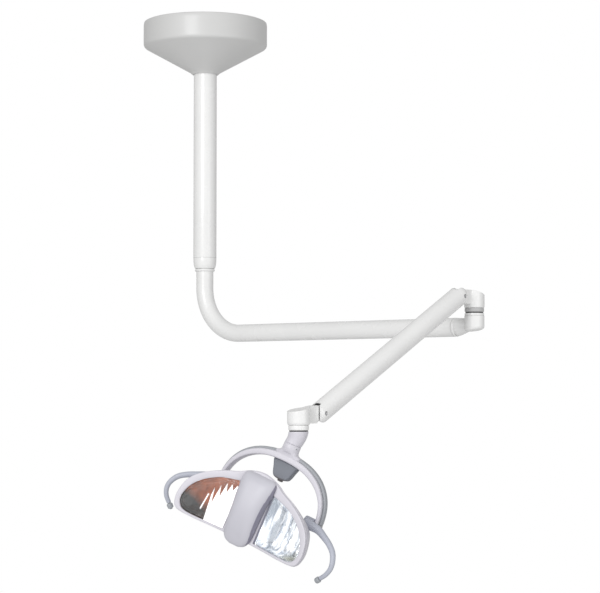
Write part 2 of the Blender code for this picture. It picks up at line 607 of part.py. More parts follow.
# ---------------------------------------------------------------- neck and yoke
def circle_section(centre, across, along, radius, count=24, half_width=None):
    """A ring of points about a centre, in the plane of two unit vectors."""
    wide = half_width or radius
    ring = []
    for k in range(count):
        a = math.tau * k / count
        ring.append(Vector(centre) + Vector(across) * wide * math.cos(a) + Vector(along) * radius * math.sin(a))
    return ring


HUB_TOP = YOKE_RISE + 0.0302           # yoke frame: where the leaning swivel parts from the neck


def build_neck():
    spin = LEAN.to_3x3()
    axis = spin @ Vector((0, 0, 1))
    seam = axis * (HUB_TOP + GAP - HUB_DISTANCE - YOKE_RISE)
    start = Vector((0, 0, -0.0014))
    sections = []
    steps = 7
    for k in range(steps + 1):
        t = k / steps
        centre = start.lerp(seam, t) + Vector((0.0022, 0, 0)) * math.sin(math.pi * t)
        mix = t * t * (3 - 2 * t)
        across = Vector((1, 0, 0)).lerp(spin @ Vector((1, 0, 0)), mix).normalized()
        along = Vector((0, 1, 0)).lerp(spin @ Vector((0, 1, 0)), mix).normalized()
        radius = NECK_RADIUS + (0.0188 - NECK_RADIUS) * mix
        sections.append(circle_section(centre, across, along, radius))
    neck = loft("neck", sections, NECK, HEAD_PLASTIC)
    combine(neck, cylinder("neck_spindle_bore", 0.0098, 0.020, NECK, None, move(0, 0, -0.0045), sides=24))
    turned("head_spindle", [(0.0, 0.0330), (0.0090, 0.0330), (0.0094, 0.0320), (0.0094, -0.0130),
                            (0.0, -0.0130)], NECK, STEEL, steps=24)
    turned("neck_wear_ring", [(0.0200, 0.0009), (0.0200, -0.0010), (0.0100, -0.0010), (0.0100, 0.0009)],
           NECK, DARK, steps=24)


def yoke_loop(outer_half, outer_rise, inner_half, inner_rise, foot, power=2.3):
    """A strip bent into a squarish arch, with a rounded foot below each pitch pin."""
    points = []
    steps = 22
    for half, rise, way in ((outer_half, outer_rise, 1), (inner_half, inner_rise, -1)):
        for k in range(steps + 1):
            a = math.pi * k / steps if way > 0 else math.pi * (1 - k / steps)
            x = math.copysign(abs(math.cos(a)) ** (2 / power), math.cos(a))
            points.append((half * x, rise * abs(math.sin(a)) ** (2 / power)))
        middle, wide = -way * (outer_half + inner_half) / 2, (outer_half - inner_half) / 2
        for a in np.linspace(math.pi, math.tau, 9)[1:-1]:
            points.append((middle + wide * math.cos(a), foot * math.sin(a)))
    return points


def build_yoke():
    front = extruded("yoke_front", [yoke_loop(0.1255, 0.1090, STRIP_HALF, STRIP_RISE, 0.0105)], 0.0105, YOKE,
                     HEAD_PLASTIC, move(0, -YOKE_DEPTH / 2 + 0.00525, 0) @ FACING_Y, edge=0.0012)
    rear = extruded("yoke_rear_cover", [yoke_loop(0.1305, 0.1145, STRIP_HALF, STRIP_RISE, 0.0115)], 0.0150,
                    YOKE, GREY_PLASTIC, move(0, YOKE_DEPTH / 2 - 0.0075 + 0.0001, 0) @ FACING_Y, edge=0.0016)
    for piece, tag in ((front, "front"), (rear, "rear")):
        for side, x in (("left", -YOKE_HALF), ("right", YOKE_HALF)):
            hole = cylinder(f"pitch_bore_{tag}_{side}", 0.0043, 0.030, YOKE, None, move(x, 0, 0) @ ALONG_X,
                            sides=16)
            combine(piece, hole)

    across, along = Vector((1, 0, 0)), Vector((0, 1, 0))
    sections = [circle_section((0, 0, HUB_TOP), across, along, 0.0188),
                circle_section((0, 0, HUB_TOP - 0.012), across, along, 0.0188),
                circle_section((0, 0, HUB_TOP - 0.017), across, along, 0.0172, half_width=0.0202),
                circle_section((0, 0, YOKE_RISE + 0.0098), across, along, 0.0150, half_width=0.0240)]
    hub = loft("yoke_hub", sections, YOKE, HEAD_PLASTIC)
    bevelled(hub, 0.0008, 1)

    half_top, half_low = 0.0300, 0.0170
    pod = [(-half_top, 0.0980), (-half_top + 0.0010, 0.0880), (-half_low - 0.003, 0.0640)]
    pod += [(-half_low + 0.002, 0.0575), (-half_low + 0.009, 0.0545), (0.0, 0.0535)]
    pod += [(-x, z) for x, z in reversed(pod[:-1])]
    shell = extruded("switch_pod", [pod], 0.022, YOKE, POD_PLASTIC, move(0, POD_MIDDLE, 0) @ FACING_Y, edge=0.0025,
                     edge_segments=2)
    trim = extruded("pod_trim", [yoke_loop(0.1400, 0.1300, STRIP_HALF - GAP, STRIP_RISE - GAP, 0.012)], 0.08,
                    YOKE, None, FACING_Y)
    combine(shell, trim)
    combine(shell, cylinder("switch_well", 0.0068, 0.024, YOKE, None, move(0, POD_MIDDLE, 0.0570), sides=24))
    turned("lamp_switch", [(0.0, 0.0644), (0.0063, 0.0644), (0.0063, 0.0515), (0.0052, 0.0503), (0.0, 0.0500)],
           SWITCH, DARK, move(0, POD_MIDDLE, 0), steps=24)

    for side, sign in (("left", -1), ("right", 1)):
        turned(f"{side}_pitch_pin", [(0.0, 0.0165), (0.0060, 0.0165), (0.0066, 0.0147), (0.0038, 0.0144),
                                     (0.0038, -0.0180), (0.0, -0.0180)],
               YOKE, STEEL, move(sign * (YOKE_HALF - 0.0075), 0, 0) @ turn(sign * math.pi / 2, "Y"), steps=16)
        turned(f"{side}_friction_washer", [(0.0098, 0.0009), (0.0098, -0.0009), (0.0042, -0.0009),
                                           (0.0042, 0.0009)],
               YOKE, DARK, move(sign * (STRIP_HALF - 2 * GAP - 0.0010), 0, 0) @ ALONG_X, steps=20)


# ---------------------------------------------------------------- head
HALF_OUTLINE = [(0.0, 0.0630), (0.030, 0.0570), (0.056, 0.0440), (0.080, 0.0350), (0.106, 0.0225),
                (0.132, 0.0045), (0.149, -0.0165), (0.1570, -0.0420), (0.1570, -0.0650), (0.1460, -0.0820),
                (0.110, -0.0858), (0.060, -0.0855)]
HALF_OPENING = [(0.0430, 0.0270), (0.0800, 0.0185), (0.1080, 0.0040), (0.1280, -0.0130), (0.1410, -0.0320),
                (0.1470, -0.0540), (0.1420, -0.0700), (0.1280, -0.0785), (0.0900, -0.0800),
                (0.0430, -0.0795)]


def outline_loop(half, per_span=2):
    """The full outline from its right half, which starts on the middle line."""
    left = [(-x, z) for x, z in reversed(half[1:])]
    return smooth_path(half + left, per_span, closed=True)


def opening_loop(sign, inset=0.0, per_span=2):
    """One lobe's opening: a smooth outer side and a straight inner side along the bulb cover."""
    curve = smooth_path(HALF_OPENING, per_span)
    centre = np.mean(np.array(curve), axis=0)
    points = []
    for x, z in curve:
        away = np.array((x, z)) - centre
        shrink = 1.0 - inset / np.linalg.norm(away)
        p = centre + away * shrink
        points.append((sign * float(p[0]), float(p[1])))
    return points if sign > 0 else list(reversed(points))


def swept(obj):
    """Lean both lobes forward about the edges of the bulb cover; the middle stays flat."""
    mesh = obj.data
    mesh.transform(obj.matrix_basis)
    obj.matrix_basis = Matrix.Identity(4)
    bm = bmesh.new()
    bm.from_mesh(mesh)
    for side in (-1, 1):
        everything = bm.verts[:] + bm.edges[:] + bm.faces[:]
        bmesh.ops.bisect_plane(bm, geom=everything, plane_co=(side * WING_ROOT, 0, 0), plane_no=(1, 0, 0))
    slope = WING_SWEEP / (WING_TIP - WING_ROOT)
    for vert in bm.verts:
        vert.co.y -= slope * max(0.0, abs(vert.co.x) - WING_ROOT)
    bm.to_mesh(mesh)
    bm.free()
    return obj


def build_head():
    loop = outline_loop(HALF_OUTLINE)
    # depth, then how much of the rim's width, upper height and lower height is left there
    stations = [(HEAD_FRONT + GAP, 1.0, 1.0, 1.0), (-0.060, 0.978, 0.930, 0.985), (-0.040, 0.930, 0.800, 0.940),
                (-0.020, 0.860, 0.660, 0.860), (-0.006, 0.755, 0.540, 0.745), (0.004, 0.600, 0.430, 0.590),
                (0.009, 0.420, 0.300, 0.400)]
    middle = -0.014

    def skin(inset, back):
        rings = []
        for y, wide, upper, lower in stations:
            depth = y if y < HEAD_FRONT + 2 * GAP else y - back
            ring = []
            for x, z in loop:
                high = (upper if z > middle else lower) - inset / 0.074
                ring.append((x * (wide - inset / 0.157), depth, middle + (z - middle) * high))
            rings.append(ring)
        return rings

    shell = swept(double_wall("rear_shell", skin(0.0, 0.0), skin(0.0024, 0.0024), HEAD, HEAD_PLASTIC))

    bezel = extruded("front_bezel", [loop, opening_loop(1), opening_loop(-1)], BEZEL_THICK, HEAD, HEAD_PLASTIC,
                     move(0, HEAD_FRONT - BEZEL_THICK / 2, 0) @ FACING_Y, edge=0.0016)
    swept(bezel)
    socket_hole = block("bezel_middle", (0.060, 0.040, 0.095), HEAD, None, move(0, HEAD_FRONT, -0.012), bevel=0.004)
    combine(bezel, socket_hole)

    for side, sign in (("left", -1), ("right", 1)):
        swept(extruded(f"{side}_shield", [opening_loop(sign, 0.0022)], 0.0022, HEAD, CLEAR,
                       move(0, HEAD_FRONT - BEZEL_THICK / 2, 0) @ FACING_Y))
        dish = build_reflector(side, sign)
        build_handle(side, sign, (shell, dish))
    build_lamp()


def build_reflector(side, sign):
    """A deep dish behind one opening, closed at its rear, with a 1.2 mm wall."""
    rim = np.array(opening_loop(sign, -0.0012))
    centre = np.array((sign * 0.092, -0.030))
    rings = [(HEAD_FRONT + 0.0010, 1.0), (-0.066, 0.955), (-0.052, 0.865), (-0.038, 0.715),
             (-0.028, 0.520), (-0.022, 0.280)]

    def skin(wall):
        sections = []
        for y, scale in rings:
            ring = centre + (rim - centre) * (scale + wall / 0.045)
            depth = y if y < HEAD_FRONT + 0.0011 else y + wall
            sections.append([(float(x), depth, float(z)) for x, z in ring])
        return sections

    return swept(double_wall(f"{side}_reflector", skin(0.0012), skin(0.0), HEAD, MIRROR))


def build_handle(side, sign, neighbours):
    knots = [(0.106, -0.0280, -0.0010, 10.0), (0.121, -0.0300, 0.0000, 9.0), (0.1410, -0.0325, -0.0013, 8.2),
             (0.1620, -0.0390, -0.0085, 7.0), (0.1800, -0.0450, -0.0165, 6.4), (0.1960, -0.0510, -0.0285, 6.0),
             (0.2050, -0.0550, -0.0450, 5.6), (0.2065, -0.0555, -0.0600, 5.3), (0.2013, -0.0535, -0.0746, 5.0),
             (0.1915, -0.0480, -0.0870, 4.8)]
    path = smooth_path(knots, 2)
    points = [(sign * x, y, z) for x, y, z, _ in path]
    handle = rod(f"{side}_handle", points, 0.001, HEAD, HANDLE_PLASTIC, radii=[p[3] for p in path], resolution=3)
    boss = cylinder(f"{side}_boss", 0.0125, 0.0226, HEAD, None, move(sign * 0.1038, 0, 0) @ ALONG_X, sides=20)
    join(handle, boss)
    web = block(f"{side}_web", (0.0080, 0.0300, 0.0160), HEAD, None, move(sign * 0.1074, -0.0170, 0))
    join(handle, web)
    combine(handle, cylinder(f"{side}_boss_bore", 0.0043, 0.040, HEAD, None,
                             move(sign * 0.1180, 0, 0) @ ALONG_X, sides=16))
    rooms = [cylinder(f"{side}_boss_room", 0.0129, 0.0500, HEAD, None, move(sign * 0.1172, 0, 0) @ ALONG_X,
                      sides=20),
             block(f"{side}_web_room", (0.0500, 0.0310, 0.0170), HEAD, None, move(sign * 0.1262, -0.0170, 0)),
             cylinder(f"{side}_root_room", 0.0114, 0.0600, HEAD, None,
                      move(sign * 0.1270, -0.0302, -0.0012) @ turn(sign * 1.49, "Y"), sides=20, radius_top=0.0104)]
    for neighbour in neighbours:
        for room in rooms:
            combine(neighbour, room)
    ball(f"{side}_handle_tip", 0.0074, HEAD, GREY_PLASTIC, move(sign * 0.1870, -0.0455, -0.0927))


def cover_sections():
    """Arched sections of the bulb cover from its top edge to its rounded foot: (z, half width, front y)."""
    return [(0.0570, 0.0380, -0.0890), (0.0500, 0.0400, -0.0975), (0.0350, 0.0400, -0.1050),
            (0.0100, 0.0375, -0.1105), (-0.0150, 0.0350, -0.1130), (-0.0400, 0.0340, -0.1120),
            (-0.0620, 0.0335, -0.1080), (-0.0800, 0.0310, -0.1020), (-0.0930, 0.0235, -0.0960),
            (-0.0985, 0.0120, -0.0915)]


def build_lamp():
    back = HEAD_FRONT - BEZEL_THICK - GAP
    arch = [(-1.0, 0.0), (-0.985, 0.45), (-0.93, 0.78), (-0.78, 0.95), (-0.45, 1.0), (0.0, 1.02),
            (0.45, 1.0), (0.78, 0.95), (0.93, 0.78), (0.985, 0.45), (1.0, 0.0)]
    bm = bmesh.new()
    rows = []
    for z, half, front in cover_sections():
        rows.append([bm.verts.new((half * a, back + (front - back) * f, z)) for a, f in arch])
    for upper, lower in zip(rows, rows[1:]):
        for i in range(len(arch) - 1):
            bm.faces.new((upper[i], lower[i], lower[i + 1], upper[i + 1]))
    for row in (rows[0], rows[-1]):
        bm.faces.new(row)
    cover = from_bmesh("bulb_cover", bm, HEAD, HEAD_PLASTIC, smooth=60)
    skinned(cover, 0.0020)

    turned("lamp_socket", [(0.0, 0.0300), (0.0085, 0.0300), (0.0085, 0.0120), (0.0030, 0.0120), (0.0, 0.0120)],
           HEAD, CERAMIC, move(0, -0.0780, 0), steps=20)
    turned("halogen_bulb", [(0.0, 0.0115), (0.0052, 0.0115), (0.0058, 0.0080), (0.0060, -0.0080),
                            (0.0048, -0.0140), (0.0020, -0.0170), (0.0, -0.0175)],
           HEAD, CLEAR, move(0, -0.0780, 0), steps=20)
    shield = turned("heat_shield", [(0.0165, 0.0320), (0.0165, -0.0300), (0.0157, -0.0300), (0.0157, 0.0320)],
                    HEAD, STEEL, move(0, -0.0780, 0), steps=24)
    combine(shield, block("heat_shield_half", (0.05, 0.04, 0.08), HEAD, None, move(0, -0.0640, 0)))


build_ceiling()
build_post_end()
build_rigid_arm()
build_elbow()
build_spring_arm()
build_lower_knuckle()
build_neck()
build_yoke()
build_head()
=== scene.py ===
"""Looks for the ceiling-mounted operatory light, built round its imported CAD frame.

Metres, +Z up.  Each piece is modelled in the frame of the body that carries it, and those frames come
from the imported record's joints, so a piece sits where the CAD says.
"""
import json
import math
from functools import partial

import bmesh
import bpy
import numpy as np
from mathutils import Matrix, Vector


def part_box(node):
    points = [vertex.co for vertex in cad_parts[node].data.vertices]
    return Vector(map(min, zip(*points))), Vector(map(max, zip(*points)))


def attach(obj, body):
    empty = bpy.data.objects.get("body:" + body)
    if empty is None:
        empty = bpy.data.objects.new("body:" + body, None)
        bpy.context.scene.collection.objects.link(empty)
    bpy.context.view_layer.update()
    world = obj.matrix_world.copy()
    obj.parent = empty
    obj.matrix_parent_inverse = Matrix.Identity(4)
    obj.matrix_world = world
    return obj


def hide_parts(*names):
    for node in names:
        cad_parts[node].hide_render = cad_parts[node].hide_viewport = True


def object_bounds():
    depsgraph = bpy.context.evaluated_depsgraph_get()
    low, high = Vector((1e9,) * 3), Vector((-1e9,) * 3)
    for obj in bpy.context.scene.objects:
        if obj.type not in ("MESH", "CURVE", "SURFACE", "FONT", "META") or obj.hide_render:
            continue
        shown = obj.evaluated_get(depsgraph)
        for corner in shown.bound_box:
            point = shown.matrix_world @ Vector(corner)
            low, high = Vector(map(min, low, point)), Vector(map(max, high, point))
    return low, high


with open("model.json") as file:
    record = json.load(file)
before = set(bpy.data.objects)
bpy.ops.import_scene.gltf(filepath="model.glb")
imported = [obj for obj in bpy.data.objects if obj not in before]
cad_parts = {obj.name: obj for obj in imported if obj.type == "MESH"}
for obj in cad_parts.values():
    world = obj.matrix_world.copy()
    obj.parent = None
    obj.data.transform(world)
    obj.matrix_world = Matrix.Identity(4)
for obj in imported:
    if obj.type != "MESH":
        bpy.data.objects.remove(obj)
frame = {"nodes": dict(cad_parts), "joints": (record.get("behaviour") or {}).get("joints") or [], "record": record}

CAD_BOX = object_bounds()
SCENE = bpy.context.scene
NODES = frame["nodes"]
JOINTS = {joint["name"]: joint for joint in frame["joints"]}


# ---------------------------------------------------------------- frames of the bodies
def joint_at(name):
    return Vector(JOINTS[name]["pos_m"])


def joint_axis(name):
    return Vector(JOINTS[name]["axis"]).normalized()


def basis(origin, x_axis, z_axis):
    """A frame from its origin, X and Z; Y completes it."""
    x_axis = x_axis.normalized()
    y_axis = z_axis.cross(x_axis).normalized()
    z_axis = x_axis.cross(y_axis)
    matrix = Matrix((x_axis, y_axis, z_axis)).transposed().to_4x4()
    matrix.translation = origin
    return matrix


def flat(point):
    return Vector((point.x, point.y, 0.0))


UP = Vector((0, 0, 1))
SIDE = -joint_axis("arm_lift")
ROOT = Matrix.Identity(4)
ARM = basis(Vector(), flat(joint_at("elbow_swivel")), UP)
ELBOW = basis(flat(joint_at("elbow_swivel")), SIDE.cross(UP), UP)
FLEX_X = joint_at("lower_leveller") - joint_at("arm_lift")
FLEX = basis(joint_at("arm_lift"), FLEX_X, FLEX_X.normalized().cross(SIDE))
LOWER = basis(joint_at("lower_leveller"), SIDE.cross(UP), UP)
NECK = Matrix.Translation(joint_at("head_yaw"))
HEAD = basis(joint_at("head_pitch"), joint_axis("head_pitch"), joint_axis("neck_swivel"))

ARM_REACH = flat(joint_at("elbow_swivel")).length
FLEX_LENGTH = FLEX_X.length
KNUCKLE_OFFSET = (ELBOW.inverted() @ joint_at("arm_lift")).x
HEAD_OFFSET = (LOWER.inverted() @ joint_at("head_yaw")).x
UPPER_PIVOT_Z = joint_at("arm_lift").z
EAR_HALF = 0.0105             # half width of the knuckles' tongues in the spring arm's slots
SHOULDER = 0.0095             # a tongue is full height this far from its pivot
CAST_VOXEL = 0.0007           # grid on which a casting's parts are merged
UPPER_SLOPE, LOWER_SLOPE = 0.3346, 0.2107   # falls of the knuckles' cast shoulders


def local_box(node, matrix):
    """A CAD node's lowest and highest corner in a body's frame."""
    inverse = matrix.inverted()
    corners = np.array([inverse @ vert.co for vert in NODES[node].data.vertices])
    return Vector(corners.min(0)), Vector(corners.max(0))


# ---------------------------------------------------------------- materials
def new_material(name):
    mat = bpy.data.materials.new(name)
    mat.use_nodes = True
    tree = mat.node_tree
    return mat, tree, tree.nodes["Principled BSDF"]


def link(tree, source, target):
    tree.links.new(source, target)


def math_node(tree, operation, first, second=None, third=None):
    node = tree.nodes.new("ShaderNodeMath")
    node.operation = operation
    for socket, value in zip(node.inputs, (first, second, third)):
        if value is None:
            continue
        if isinstance(value, (int, float)):
            socket.default_value = value
        else:
            link(tree, value, socket)
    return node.outputs[0]


def noise(tree, coords, scale, detail=3.0, stretch=None):
    if stretch:
        mapping = tree.nodes.new("ShaderNodeMapping")
        mapping.inputs["Scale"].default_value = stretch
        link(tree, coords, mapping.inputs["Vector"])
        coords = mapping.outputs[0]
    node = tree.nodes.new("ShaderNodeTexNoise")
    node.inputs["Scale"].default_value = scale
    node.inputs["Detail"].default_value = detail
    link(tree, coords, node.inputs["Vector"])
    return node.outputs["Fac"]


def object_coords(tree):
    return tree.nodes.new("ShaderNodeTexCoord").outputs["Object"]


def remap(tree, value, low, high, start=0.35, stop=0.65):
    node = tree.nodes.new("ShaderNodeMapRange")
    for key, number in (("From Min", start), ("From Max", stop), ("To Min", low), ("To Max", high)):
        node.inputs[key].default_value = number
    link(tree, value, node.inputs["Value"])
    return node.outputs["Result"]


def blend_colours(tree, factor, first, second):
    node = tree.nodes.new("ShaderNodeMix")
    node.data_type = "RGBA"
    link(tree, factor, node.inputs["Factor"])
    for key, colour in (("A", first), ("B", second)):
        socket = [s for s in node.inputs if s.name == key and s.type == "RGBA"][0]
        if isinstance(colour, tuple):
            socket.default_value = (*colour, 1.0)
        else:
            link(tree, colour, socket)
    return [s for s in node.outputs if s.type == "RGBA"][0]


def scaled(colour, factor):
    return tuple(min(1.0, channel * factor) for channel in colour)


def distance_from(tree, coords, place):
    node = tree.nodes.new("ShaderNodeVectorMath")
    node.operation = "DISTANCE"
    link(tree, coords, node.inputs[0])
    node.inputs[1].default_value = place
    return node.outputs["Value"]


def bump(tree, shader, height, strength, distance):
    node = tree.nodes.new("ShaderNodeBump")
    node.inputs["Strength"].default_value = strength
    node.inputs["Distance"].default_value = distance
    link(tree, height, node.inputs["Height"])
    link(tree, node.outputs[0], shader.inputs["Normal"])


def enamel(name, colour, roughness, coat=0.25):
    """Powder-coated metal: very faint orange peel and slow mottling under an even gloss."""
    mat, tree, shader = new_material(name)
    coords = object_coords(tree)
    mottle = noise(tree, coords, 9.0, 2.0)
    colour_out = blend_colours(tree, remap(tree, mottle, 0.0, 1.0), scaled(colour, 0.985),
            scaled(colour, 1.01))
    link(tree, colour_out, shader.inputs["Base Color"])
    link(tree, remap(tree, noise(tree, coords, 24.0), roughness - 0.02, roughness + 0.03),
         shader.inputs["Roughness"])
    shader.inputs["Coat Weight"].default_value = coat
    shader.inputs["Coat Roughness"].default_value = 0.10
    bump(tree, shader, noise(tree, coords, 300.0, 1.0), 0.03, 0.00005)
    return mat


def moulded(name, colour, roughness, grain=0.06, rim=None):
    """Moulded plastic with fine grain and faint flow shading; an optional darker rim colour takes over below its
    height, painted shade along a part's lower edge.
    """
    mat, tree, shader = new_material(name)
    coords = object_coords(tree)
    flow = noise(tree, coords, 14.0, 2.0, stretch=(1.0, 1.0, 0.4))
    colour_out = blend_colours(tree, remap(tree, flow, 0.0, 1.0), scaled(colour, 0.98),
            scaled(colour, 1.015))
    if rim:
        # the darker colour below the given height is painted shade
        rim_shade_colour, start, stop = rim
        split = tree.nodes.new("ShaderNodeSeparateXYZ")
        link(tree, coords, split.inputs[0])
        colour_out = blend_colours(tree, remap(tree, split.outputs["Z"], 1.0, 0.0, start, stop), colour_out,
                rim_shade_colour)
    link(tree, colour_out, shader.inputs["Base Color"])
    link(tree, remap(tree, noise(tree, coords, 60.0), roughness - 0.03, roughness + 0.04),
         shader.inputs["Roughness"])
    bump(tree, shader, noise(tree, coords, 600.0, 1.0), grain, 0.00005)
    return mat


def metal(name, colour, roughness, stretch=(1.0, 1.0, 14.0)):
    """Plated or turned metal with fine tool lines."""
    mat, tree, shader = new_material(name)
    coords = object_coords(tree)
    lines = noise(tree, coords, 260.0, 2.0, stretch=stretch)
    colour_out = blend_colours(tree, remap(tree, lines, 0.0, 1.0), scaled(colour, 0.85),
            scaled(colour, 1.08))
    link(tree, colour_out, shader.inputs["Base Color"])
    link(tree, remap(tree, noise(tree, coords, 40.0), roughness - 0.06, roughness + 0.08),
         shader.inputs["Roughness"])
    shader.inputs["Metallic"].default_value = 1.0
    bump(tree, shader, lines, 0.1, 0.0001)
    return mat


def clear(name, colour, alpha, roughness=0.05):
    mat, tree, shader = new_material(name)
    coords = object_coords(tree)
    tint = remap(tree, noise(tree, coords, 20.0), 0.0, 1.0)
    link(tree, blend_colours(tree, tint, scaled(colour, 0.97), colour), shader.inputs["Base Color"])
    shader.inputs["Roughness"].default_value = roughness
    shader.inputs["Alpha"].default_value = alpha
    shader.inputs["Specular IOR Level"].default_value = 0.8
    return mat


ENAMEL = enamel("white_enamel", (0.86, 0.86, 0.855), 0.26)
# the canopy's darker grey enamel is painted shade, standing in for the shade on its downward faces
CANOPY_SHADE_ENAMEL = enamel("canopy_enamel", (0.63, 0.63, 0.625), 0.36, coat=0.15)
HEAD_PLASTIC = moulded("head_plastic", (0.66, 0.645, 0.70), 0.36)
COVER_PLASTIC = moulded("cover_plastic", (0.56, 0.555, 0.61), 0.40)
GREY_PLASTIC = moulded("grey_plastic", (0.36, 0.38, 0.405), 0.42)
HANDLE_PLASTIC = moulded("handle_plastic", (0.46, 0.48, 0.55), 0.40)
# the pod's darker brownish band along its lower rim is painted shade
POD_PLASTIC = moulded("pod_plastic", (0.235, 0.25, 0.285), 0.48, rim=((0.14, 0.125, 0.125), 0.0550, 0.0600))
LIP_PLASTIC = moulded("yoke_lip_plastic", (0.36, 0.375, 0.40), 0.42)
# darker copy of the head plastic for the cover's flanks: painted shade
FLANK_SHADE_PLASTIC = moulded("cover_flank_painted_shade", (0.25, 0.24, 0.31), 0.42)
RING_GREY = moulded("ring_grey", (0.50, 0.50, 0.50), 0.35)
DARK = moulded("black_nylon", (0.03, 0.03, 0.032), 0.5)
STEEL = metal("zinc_steel", (0.58, 0.58, 0.59), 0.30)
BRONZE = metal("sintered_bronze", (0.52, 0.36, 0.19), 0.45)
COPPER = metal("copper_winding", (0.60, 0.30, 0.16), 0.35, stretch=(1.0, 20.0, 1.0))
CERAMIC = moulded("white_ceramic", (0.82, 0.80, 0.74), 0.55)
SHIELD = clear("clear_shield", (0.92, 0.95, 0.97), 0.05)
BULB_GLASS = clear("bulb_glass", (0.95, 0.96, 0.97), 0.35)

SLOT_MATERIALS = {
    "white_enamel": ENAMEL, "canopy_enamel": CANOPY_SHADE_ENAMEL, "head_plastic": HEAD_PLASTIC,
    "grey_plastic": GREY_PLASTIC, "handle_plastic": HANDLE_PLASTIC, "pod_plastic": POD_PLASTIC,
    "zinc_steel": STEEL, "black_nylon": DARK, "sintered_bronze": BRONZE, "copper_winding": COPPER,
    "white_ceramic": CERAMIC, "clear_polycarbonate": SHIELD,
}


# ---------------------------------------------------------------- modelling helpers
def piece(name, mesh, matrix, body, mat, slot, *nodes, smooth=35):
    """Puts a finished mesh in a body's frame, to stand for the named CAD nodes."""
    obj = bpy.data.objects.new(name, mesh)
    SCENE.collection.objects.link(obj)
    obj.matrix_world = matrix
    mesh.materials.clear()
    mesh.materials.append(mat)
    mesh.shade_smooth()
    mesh.set_sharp_from_angle(angle=math.radians(smooth))
    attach(obj, body)
    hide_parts(*nodes)
    return obj


def to_mesh(bm, name="mesh"):
    bmesh.ops.remove_doubles(bm, verts=bm.verts, dist=0.000005)
    bmesh.ops.recalc_face_normals(bm, faces=bm.faces)
    mesh = bpy.data.meshes.new(name)
    bm.to_mesh(mesh)
    bm.free()
    return mesh


def rounded(corners, steps=5):
    """An (r, z) path whose corners (r, z, fillet radius) are rounded by arcs."""
    out = []
    count = len(corners)
    for i, (r, z, fillet) in enumerate(corners):
        here = Vector((r, z))
        if fillet == 0.0 or i in (0, count - 1):
            out.append((r, z))
            continue
        before = (Vector(corners[i - 1][:2]) - here)
        after = (Vector(corners[i + 1][:2]) - here)
        angle = before.angle(after)
        reach = min(fillet / math.tan(angle / 2), before.length * 0.49, after.length * 0.49)
        start, stop = here + before.normalized() * reach, here + after.normalized() * reach
        for k in range(steps + 1):
            t = k / steps
            p = start * (1 - t) ** 2 + here * 2 * t * (1 - t) + stop * t ** 2
            out.append((p.x, p.y))
    return out


def revolve(profile, steps=96):
    """A solid turned about Z.  Its profile is closed on itself, or touches the axis at both ends."""
    bm = bmesh.new()
    touches = profile[0][0] < 1e-6 and profile[-1][0] < 1e-6
    rings = []
    for r, z in profile:
        if r < 1e-6:
            rings.append([bm.verts.new((0, 0, z))])
        else:
            rings.append([bm.verts.new((r * math.cos(math.tau * k / steps),
                    r * math.sin(math.tau * k / steps), z)) for k in range(steps)])
    pairs = list(zip(rings, rings[1:]))
    if not touches:
        pairs.append((rings[-1], rings[0]))
    for a, b in pairs:
        for k in range(steps):
            j = (k + 1) % steps
            corners = [a[k % len(a)], a[j % len(a)], b[j % len(b)], b[k % len(b)]]
            corners = list(dict.fromkeys(corners))
            if len(corners) > 2:
                bm.faces.new(corners)
    return bm


def skin(rings):
    """A closed body from rings of points with equal counts."""
    bm = bmesh.new()
    rows = [[bm.verts.new(p) for p in ring] for ring in rings]
    size = len(rows[0])
    for a, b in zip(rows, rows[1:]):
        for i in range(size):
            j = (i + 1) % size
            bm.faces.new((a[i], a[j], b[j], b[i]))
    bm.faces.new(list(reversed(rows[0])))
    bm.faces.new(rows[-1])
    return bm


def spline(knots, per_span=8, closed=False):
    """Catmull-Rom points through knots with any number of coordinates."""
    pts = np.array(knots, float)
    count = len(pts)
    out = []
    for i in range(count if closed else count - 1):
        if closed:
            p0, p1, p2, p3 = (pts[(i + k - 1) % count] for k in range(4))
        else:
            p0, p1 = pts[max(i - 1, 0)], pts[i]
            p2, p3 = pts[i + 1], pts[min(i + 2, count - 1)]
        for t in np.arange(per_span) / per_span:
            out.append(0.5 * (2 * p1 + (p2 - p0) * t + (2 * p0 - 5 * p1 + 4 * p2 - p3) * t ** 2
                    + (3 * p1 - p0 - 3 * p2 + p3) * t ** 3))
    if not closed:
        out.append(pts[-1])
    return np.array(out)


def superellipse(half_a, half_b, power, count):
    """A rounded rectangle's outline: power 2 is an ellipse, higher is squarer."""
    out = []
    for k in range(count):
        a = math.tau * k / count
        c, s = math.cos(a), math.sin(a)
        out.append((half_a * math.copysign(abs(c) ** (2 / power), c),
                half_b * math.copysign(abs(s) ** (2 / power), s)))
    return out


def sweep(path, halves, side, power=2.0, count=32):
    """A bar along a path: halves gives each station's half size along `side` and across it."""
    rings = []
    for i, point in enumerate(path):
        ahead = (path[min(i + 1, len(path) - 1)] - path[max(i - 1, 0)]).normalized()
        first = (side - ahead * side.dot(ahead)).normalized()
        second = ahead.cross(first)
        a, b = halves[i]
        rings.append([point + first * x + second * y for x, y in superellipse(a, b, power, count)])
    return skin(rings)


def evaluated_mesh(obj):
    bpy.context.view_layer.update()
    graph = bpy.context.evaluated_depsgraph_get()
    return bpy.data.meshes.new_from_object(obj.evaluated_get(graph))


